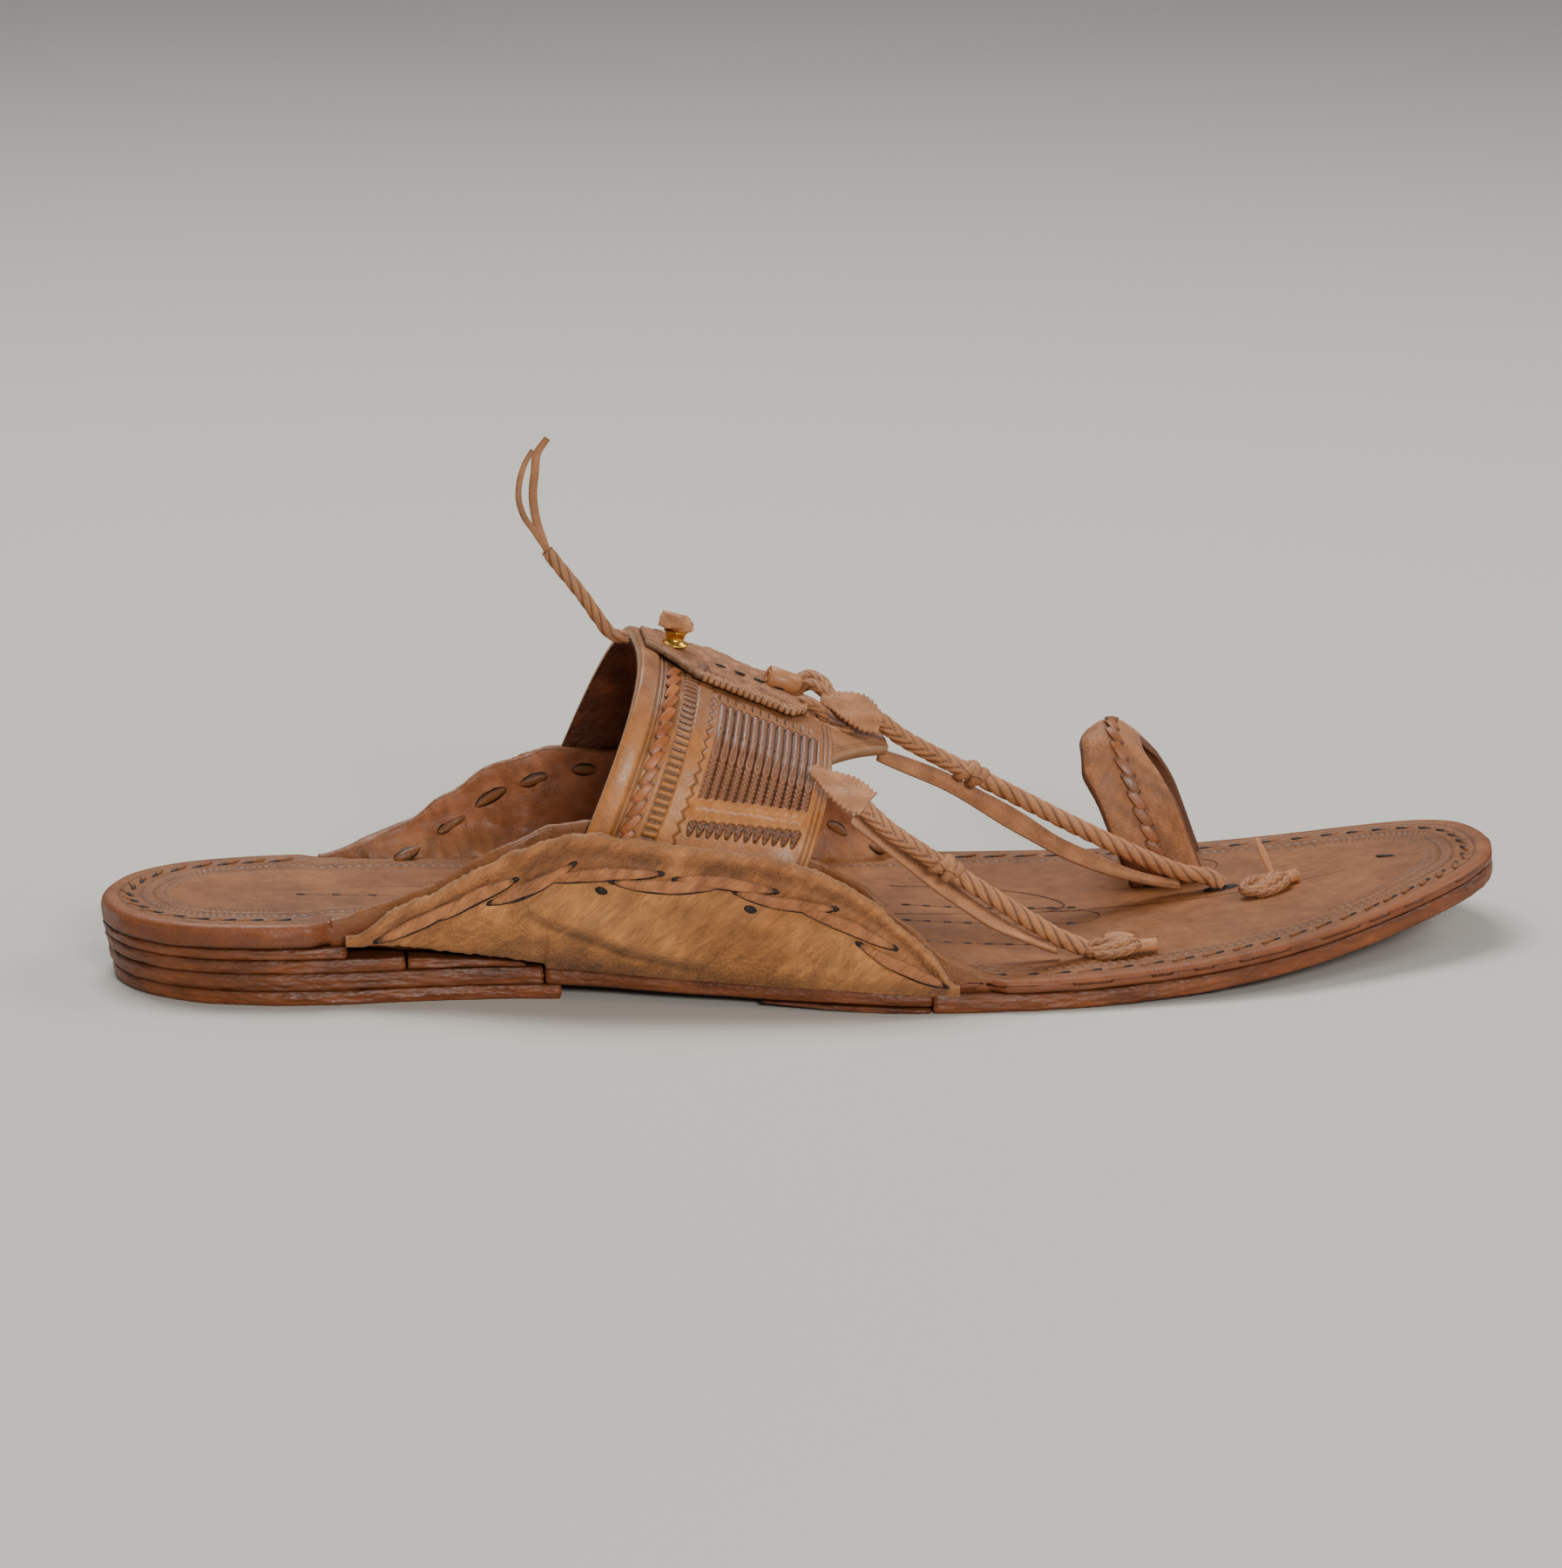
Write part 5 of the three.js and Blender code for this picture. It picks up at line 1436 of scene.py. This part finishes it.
# The plaits wound around the strip's front end
KNOT_LOOPS = [
    [(-3.5, -9.5, 53.0), (-1.6, -12.2, 53.8), (1.0, -12.6, 52.4), (2.0, -11.0, 49.9), (0.2, -9.2, 49.3)],
    [(-2.6, -4.0, 54.4), (0.2, -6.0, 56.0), (3.0, -8.4, 54.4), (5.6, -9.6, 50.8), (8.6, -8.6, 48.8)],
    [(-3.0, 0.2, 54.2), (0.4, 1.2, 56.2), (3.2, -1.0, 55.2), (4.8, -4.4, 52.8), (8.0, -6.0, 49.6)],
    [(-3.2, -8.8, 52.2), (-2.0, -12.8, 51.0), (1.6, -14.4, 48.8), (5.2, -12.8, 47.5), (7.4, -10.8, 47.4)],
]


def make_ridge_ties():
    roll = Batch()
    profile = [
        (0.01, 0.3), (0.7, 0.3), (0.8, 0), (1.3, 0), (1.4, 0.35),
        (1.9, 0), (2.2, 0.2), (2.2, 6.4), (1.9, 6.8), (0.01, 6.8),
    ]
    x, y = -8.8, -8.4
    lathe(roll, profile, (x, y, strip_top(x) + 1.7), (0.92, 0.12, -0.36), ROLL_TINT)
    part(roll.build("ridge_roll_piece", band_leather), "band_leather", "ridge_roll")
    knot = Batch()
    for k, loop in enumerate(KNOT_LOOPS):
        path = resample(catmull(loop), 84)
        plait(knot, path, 1.2, 2.6, CORD_TINT * (0.82 + 0.07 * k), sides=28)
    part(knot.build("ridge_knot_loops", thong_leather), "thong_leather", "ridge_knot")


# ---- toe cords, their flat straps and leaves --------------------------------------------------

# Centre lines of the toe cords and of the flat straps below them
CORD_UPPER = [
    (8.6, -7.2, 51.0), (13.6, -6.6, 48.6), (18.2, -5.8, 44.9), (23.9, -5.0, 41.4), (34.8, -3.5, 35.3),
    (44.5, -2.0, 29.8), (56.8, 0.0, 22.9), (69.2, 2.0, 16.4), (78.0, 3.8, 12.4), (83.6, 5.0, 11.0),
    (86.0, 5.2, 9.2),
]
CORD_LOWER = [
    (5.4, -42.0, 40.2), (7.4, -42.2, 38.3), (11.0, -42.7, 34.9), (16.3, -43.1, 31.1), (21.3, -43.0, 27.7),
    (29.3, -42.2, 22.2), (38.8, -40.8, 15.6), (45.4, -39.4, 11.2), (50.6, -38.4, 8.6),
]
STRAP_UPPER = [
    (13.9, -4.6, 40.6), (20.4, -4.4, 37.9), (27.5, -3.6, 34.6), (34.7, -2.4, 30.2), (44.4, -1.2, 23.9),
    (51.9, -0.2, 19.0), (61.9, 1.4, 14.1), (69.4, 3.0, 11.3), (77.5, 4.6, 9.2),
]
STRAP_LOWER = [
    (4.4, -39.8, 36.4), (9.6, -39.6, 32.4), (15.4, -39.4, 27.6), (21.3, -39.0, 22.8), (27.2, -38.5, 18.0),
    (33.1, -38.0, 13.8), (39.1, -37.6, 10.6), (45.5, -37.4, 7.8),
]


def wrap_knot(batch, centre, along, radius, tint):
    """Turns of thong tied around a cord."""
    side, up = side_frame(np.array([centre - along, centre, centre + along]), (0, 0, 1))
    side, up = side[1], up[1]
    for k, (shift, lean, size) in enumerate(((-1.3, 0.9, 1.05), (0.4, -0.5, 1.2), (1.7, 0.8, 1.0))):
        turn = np.linspace(0, 2 * math.pi, 41)
        normal = np.cos(turn)[:, None] * side + np.sin(turn)[:, None] * up
        ring = centre + along * (shift + lean * np.sin(turn))[:, None] + normal * radius * size
        batch.strand(ring, normal, 1.9, 1.1, tint * (0.95 - 0.09 * k), sides=10)


def make_cord(name, node, route, knot_at):
    path = resample(catmull(route), 420)
    batch = Batch()
    length = arc_length(path)
    k = int(np.argmin(np.linalg.norm(path - np.array(knot_at), axis=1)))
    plait(batch, path, 1.75, 2.8, CORD_TINT, twist_from=length[k])
    wrap_knot(batch, path[k], tangents(path)[k], 1.85, CORD_TINT)
    part(batch.build(name, thong_leather), "thong_leather", node)


def make_flat_strap(name, node, route, twist, broad):
    """A dry flat strap, cupped along its middle, that follows a cord from below."""
    path = resample(catmull(route), 120)
    t = np.linspace(0, 1, 120)
    side, up = side_frame(path, (0, 0, 1))
    wide = lerp(1.8, broad, np.sin(math.pi * t) ** 0.6) * (1 + 0.1 * wobble(60, 0.4, t))
    lean = twist + 0.35 * np.sin(4 * t + 0.5)
    across_way = side * -np.cos(lean)[:, None] + up * np.sin(lean)[:, None]
    out_way = np.cross(tangents(path), across_way)
    out_way = out_way * np.sign(np.sum(out_way * up, axis=1, keepdims=True))
    share = np.linspace(-0.5, 0.5, 15)
    cup = 0.14 * wide[:, None] * 4 * share[None] ** 2
    middle = path[:, None] + across_way[:, None] * (share[None, :, None] * wide[:, None, None])
    front = middle + out_way[:, None] * (cup + 0.45)[..., None]
    back = middle + out_way[:, None] * (cup - 0.45)[..., None]
    # Besides the random tone, one side of the strap is darkened by up to 0.2: painted shade of a fold.
    fold = (share[None] > 0.1) * smooth(share[None], 0.1, 0.4)
    dry = 0.98 + 0.12 * wobble(61, 9, path[:, 0])[:, None] - 0.2 * fold
    tone = CORD_TINT * dry[..., None]
    strap = wall_mesh(name, front, back, thong_leather, tone, CORD_TINT * 0.72, rim=3)
    part(strap, "thong_leather", node)


def make_leaf(name, node, spine, halves, normal, tint):
    """A flat pinked leaf of thin leather: halves are its half widths along the spine."""
    path = resample(catmull(spine), 96)
    t = np.linspace(0, 1, 96)
    normal = unit(np.asarray(normal, float))
    across_way = unit(np.cross(normal, tangents(path)))
    half = np.interp(t, np.linspace(0, 1, len(halves)), halves)
    teeth = 1 + 0.17 * (tri_wave(t * 12 + 0.2) - 0.5)
    share = np.linspace(-1, 1, 26)
    s, r = share[None], (half / max(halves))[:, None]
    vein = bump(s, 0, 0.14) + 0.5 * bump((np.abs(s) * 0.8 - t[:, None] * 4 + 0.2) % 1, 0.5, 0.2)
    puff = 0.5 * (1 - s**2) * r + 0.3 * wobble(67, 0.6, t[:, None], s * 0.3) - 0.1 * vein
    middle = path[:, None] + across_way[:, None] * (s[..., None] * (half * teeth)[:, None, None])
    front = middle + normal * (puff + 0.4)[..., None]
    back = middle + normal * (puff - 0.4)[..., None]
    tone = tint * (1 + 0.12 * wobble(68, 0.3, t[:, None], s * 0.3) - 0.12 * vein)[..., None]
    leaf = wall_mesh(name, front, back, thong_leather, tone, tint * 0.7, rim=3)
    part(leaf, "thong_leather", node)


def make_toe_cords():
    make_cord("toe_cord_upper", "cord_upper", CORD_UPPER, (33.0, -3.8, 36.3))
    make_cord("toe_cord_lower", "cord_lower", CORD_LOWER, (22.4, -42.9, 27.0))
    make_flat_strap("toe_strap_upper", "strap_upper", STRAP_UPPER, 0.7, 3.8)
    make_flat_strap("toe_strap_lower", "strap_lower", STRAP_LOWER, 0.8, 2.9)
    make_leaf(
        "leaf_upper_piece", "leaf_upper",
        [(1.8, -9.6, 53.8), (5.4, -10.4, 53.2), (9.6, -11.2, 51.2), (13.6, -11.4, 48.6)],
        (0.9, 1.9, 3.1, 3.7, 3.4, 2.2), (0.2, -0.72, 0.68), CORD_TINT * 0.96,
    )
    make_leaf(
        "leaf_lower_piece", "leaf_lower",
        [(-3.6, -39.0, 46.4), (-0.6, -40.6, 44.8), (2.8, -42.8, 42.8), (6.8, -45.2, 40.6)],
        (0.9, 1.6, 2.7, 3.3, 3.5, 2.9), (0.1, -0.74, 0.66), CORD_TINT,
    )


# ---- toe loop ---------------------------------------------------------------------------------

# The toe loop: y of its feet, height, strap width, x of its feet and crown, and how it leans and curls
LOOP = dict(
    lateral=12.6, medial=37.5, crown=40.0, width=14.2, foot=77.4, top=64.4, far=80.0, slant=1.8, curl=3.8
)


def loop_point(turn, share, offset):
    """turn from 0 at the lateral foot to pi at the medial one, share across the strap."""
    middle = (LOOP["lateral"] + LOOP["medial"]) / 2
    half = (LOOP["medial"] - LOOP["lateral"]) / 2
    up = np.clip(np.sin(turn), 0, 1) ** 0.72
    side = -np.sign(np.cos(turn)) * np.abs(np.cos(turn)) ** 0.8
    foot = np.where(side < 0, LOOP["foot"], LOOP["far"])
    x = lerp(foot, LOOP["top"] + LOOP["slant"] * (side + 1), up)
    floor = footbed_top(x) + GAP - 2.0
    width = LOOP["width"] * (1.04 - 0.2 * smooth(up, 0.8, 1))
    dip = LOOP["curl"] * (2 * share) ** 2 * smooth(up, 0.5, 1)
    z = floor + (LOOP["crown"] - floor + offset) * up - dip
    return np.stack(np.broadcast_arrays(x + share * width, middle + side * (half + offset), z), axis=-1)


def make_toe_loop():
    turn = np.linspace(0, math.pi, 700)
    middle = loop_point(turn, 0.0, 0.0)
    even = np.interp(np.linspace(0, arc_length(middle)[-1], 160), arc_length(middle), turn)[:, None]
    share = np.linspace(-0.5, 0.5, 44)[None]
    edge = 0.5 - np.abs(share)
    relief = -0.4 * bump(share * LOOP["width"], 0, 3.6) + 0.12 * wobble(71, 9, even * 14, share * 13)
    relief = relief + 0.35 * bump(edge * LOOP["width"], 0.8, 2.4)
    front = loop_point(even, share, relief)
    back = loop_point(even, share, -1.6 + 0 * relief)
    tone = LOOP_TINT * (1 + 0.16 * wobble(72, 8, even * 12, share * 13))[..., None]
    # Darker down the middle of the strap: painted shade in the channel under the lacing.
    wear_and_shade = 1 + 0.14 * wobble(73, 1.6, even * 14, share * 13) - 0.3 * bump(share * LOOP["width"], 0, 3.0)
    tone = tone * wear_and_shade[..., None]
    loop = wall_mesh("toe_loop_strap", front, back, thong_leather, tone, LOOP_BACK_TINT)
    part(loop, "band_leather", "toe_loop")
    length = arc_length(middle)

    def place(distance, sway):
        at = np.interp(distance, length, turn)
        base = loop_point(at, sway / LOOP["width"], -0.3)
        later, sooner = np.clip(at + 0.01, 0, math.pi), np.clip(at - 0.01, 0, math.pi)
        ahead, behind = (loop_point(end, sway / LOOP["width"], 0.0) for end in (later, sooner))
        across = loop_point(at, sway / LOOP["width"] + 0.02, -0.3) - base
        normal = unit(np.cross(ahead - behind, across))
        centre = np.array([70.0, 25.0, 15.0])
        return base, normal * np.sign(np.sum(normal * (base - centre), axis=-1, keepdims=True))

    def above_foot(distance, sway):
        return place(distance + 3, sway)

    links = make_lacing(above_foot, length[-1] - 16, 3.7, LOOP_LACING_TINT, 2.0, 1.0, 1.3, 0.6)
    part(links.build("toe_loop_lacing", band_leather), "band_leather")


# ---- what lies on the footbed -----------------------------------------------------------------

# The knots that end the toe cords: x, y, heading
KNOTS = {"knot_lateral": (56.4, -38.0, 0.0), "knot_central": (93.6, -3.4, 0.62)}


def make_footbed_knots():
    for node, (x, y, heading) in KNOTS.items():
        ahead = np.array([math.cos(heading), math.sin(heading), 0.06])
        side = np.array([-math.sin(heading), math.cos(heading), 0])
        up = np.array([0, 0, 1.0])
        centre = np.array([x, y, float(footbed_top(np.array(x)))])
        batch = Batch()
        for k, (reach, wide, tall) in enumerate(((-1.2, 2.4, 2.4), (0.9, -2.2, 2.2), (0.0, 0.5, 3.3))):
            t = np.linspace(0, 2 * math.pi, 90, endpoint=False)[:, None]
            path = centre + ahead * (reach + 4.0 * np.cos(t)) + side * (wide * 0.4 + 1.5 * np.sin(t))
            path = path + up * (0.9 + tall * 0.28 * (1 + np.sin(t + k)))
            plait(batch, path, 1.05, 2.2, CORD_TINT * (0.8 + 0.08 * k), sides=22)
        t = np.linspace(0, 1, 30)[:, None]
        peg = centre + ahead * lerp(3.4, 9.0, t) + up * 1.6
        batch.strand(peg, up, 2.9, 2.7, CORD_TINT * 1.12, sides=16)
        part(batch.build(node + "_tied", thong_leather), "thong_leather", node)


# Rows of small dark stitches on the footbed: start, end, count
STITCH_ROWS = [
    ((21.2, 6.5), (54.6, 1.4), 9), ((19.6, -6.0), (52.6, -10.7), 9), ((17.4, -22.2), (50.1, -26.6), 9),
    ((-102.3, -8.2), (-60.0, -15.0), 7),
]
# Lines scribed into the footbed
SCRIBES = [
    [(20.2, 22.0), (34.0, 21.0), (48.0, 14.0), (53.5, 4.0), (50.0, -0.4)],
    [(50.0, -0.4), (57.5, -2.2), (59.2, -5.6), (57.0, -9.6), (51.5, -11.6)],
    [(86.0, 18.6), (88.4, 22.0), (88.6, 26.0), (85.8, 29.9)],
]
# Slits in the footbed: x, y, half length, slope, half width
FOOTBED_SLITS = [(73.0, 13.8, 4.4, -0.42, 2.0), (86.4, 4.8, 4.4, 0.2, 2.0), (120.8, 7.6, 2.0, -0.5, 0.5)]


def make_footbed_marks():
    marks = Batch()
    for start, end, count in STITCH_ROWS:
        for k in range(count):
            x, y = lerp(np.array(start), np.array(end), k / (count - 1))
            marks.ball((x, y, footbed_top(x) - 0.1), ((0.95, -0.2, 0), (0.1, 0.4, 0), (0, 0, 0.2)), DARK)
        path = resample(np.array([start, end]), 60)
        line = np.column_stack([path, footbed_top(path[:, 0]) - 0.16])
        # The line along each row is darker, partly its own colour and partly painted shade in the groove.
        marks.strand(line, (0, 0, 1), 0.5, 0.25, FOOTBED_TINT * 0.55, sides=6)
    for route in SCRIBES:
        path = resample(catmull(route), 50)
        line = np.column_stack([path, footbed_top(path[:, 0]) - 0.14])
        # The scribed lines are darker, partly their own colour and partly painted shade in the groove.
        marks.strand(line, (0, 0, 1), 0.45, 0.25, FOOTBED_TINT * 0.4, sides=6)
    # The slits are near-black ellipsoids: painted shade inside the slots.
    for x, y, half, slant, wide in FOOTBED_SLITS:
        z = footbed_top(np.array(x))
        axes = ((half, half * slant, 0.2), (0.25 * wide, wide, 0), (0, 0, 0.3))
        marks.ball((x, y, z - 0.05), axes, DARK * 0.5)
    part(marks.build("footbed_marks", lining_leather), "footbed_leather")


# Thong ends that stick up from the footbed: start, end, width
SLIPS = [
    ((57.0, -26.0, 7.4), (62.4, -28.6, 7.8), 2.6), ((97.2, 7.2, 10.6), (94.6, 12.4, 17.4), 1.9),
]


def make_slips():
    slips = Batch()
    for start, end, width in SLIPS:
        t = np.linspace(0, 1, 24)
        path = lerp(np.array(start), np.array(end), t[:, None])
        shape = np.sin(math.pi * (0.12 + 0.8 * t)) ** 0.6
        slips.strand(path, (0.3, -0.7, 0.6), width * shape, 0.8 * shape, CORD_TINT * 1.1, sides=12)
    part(slips.build("footbed_slips", thong_leather), "thong_leather")


make_sole()
make_footbed()
make_edge_stitches()
for side, name in ((-1, "lateral"), (1, "medial")):
    make_ear(side, "ear_" + name)
    make_flap(side, "flap_" + name + "_piece", "flap_" + name)
    make_flap_stitches(side, "flap_stitches_" + name)
    make_ear_stitches(side, "ear_stitches_" + name)
make_band()
make_strip()
make_stud()
make_ridge_ties()
make_toe_cords()
make_toe_loop()
make_footbed_knots()
make_footbed_marks()
make_slips()
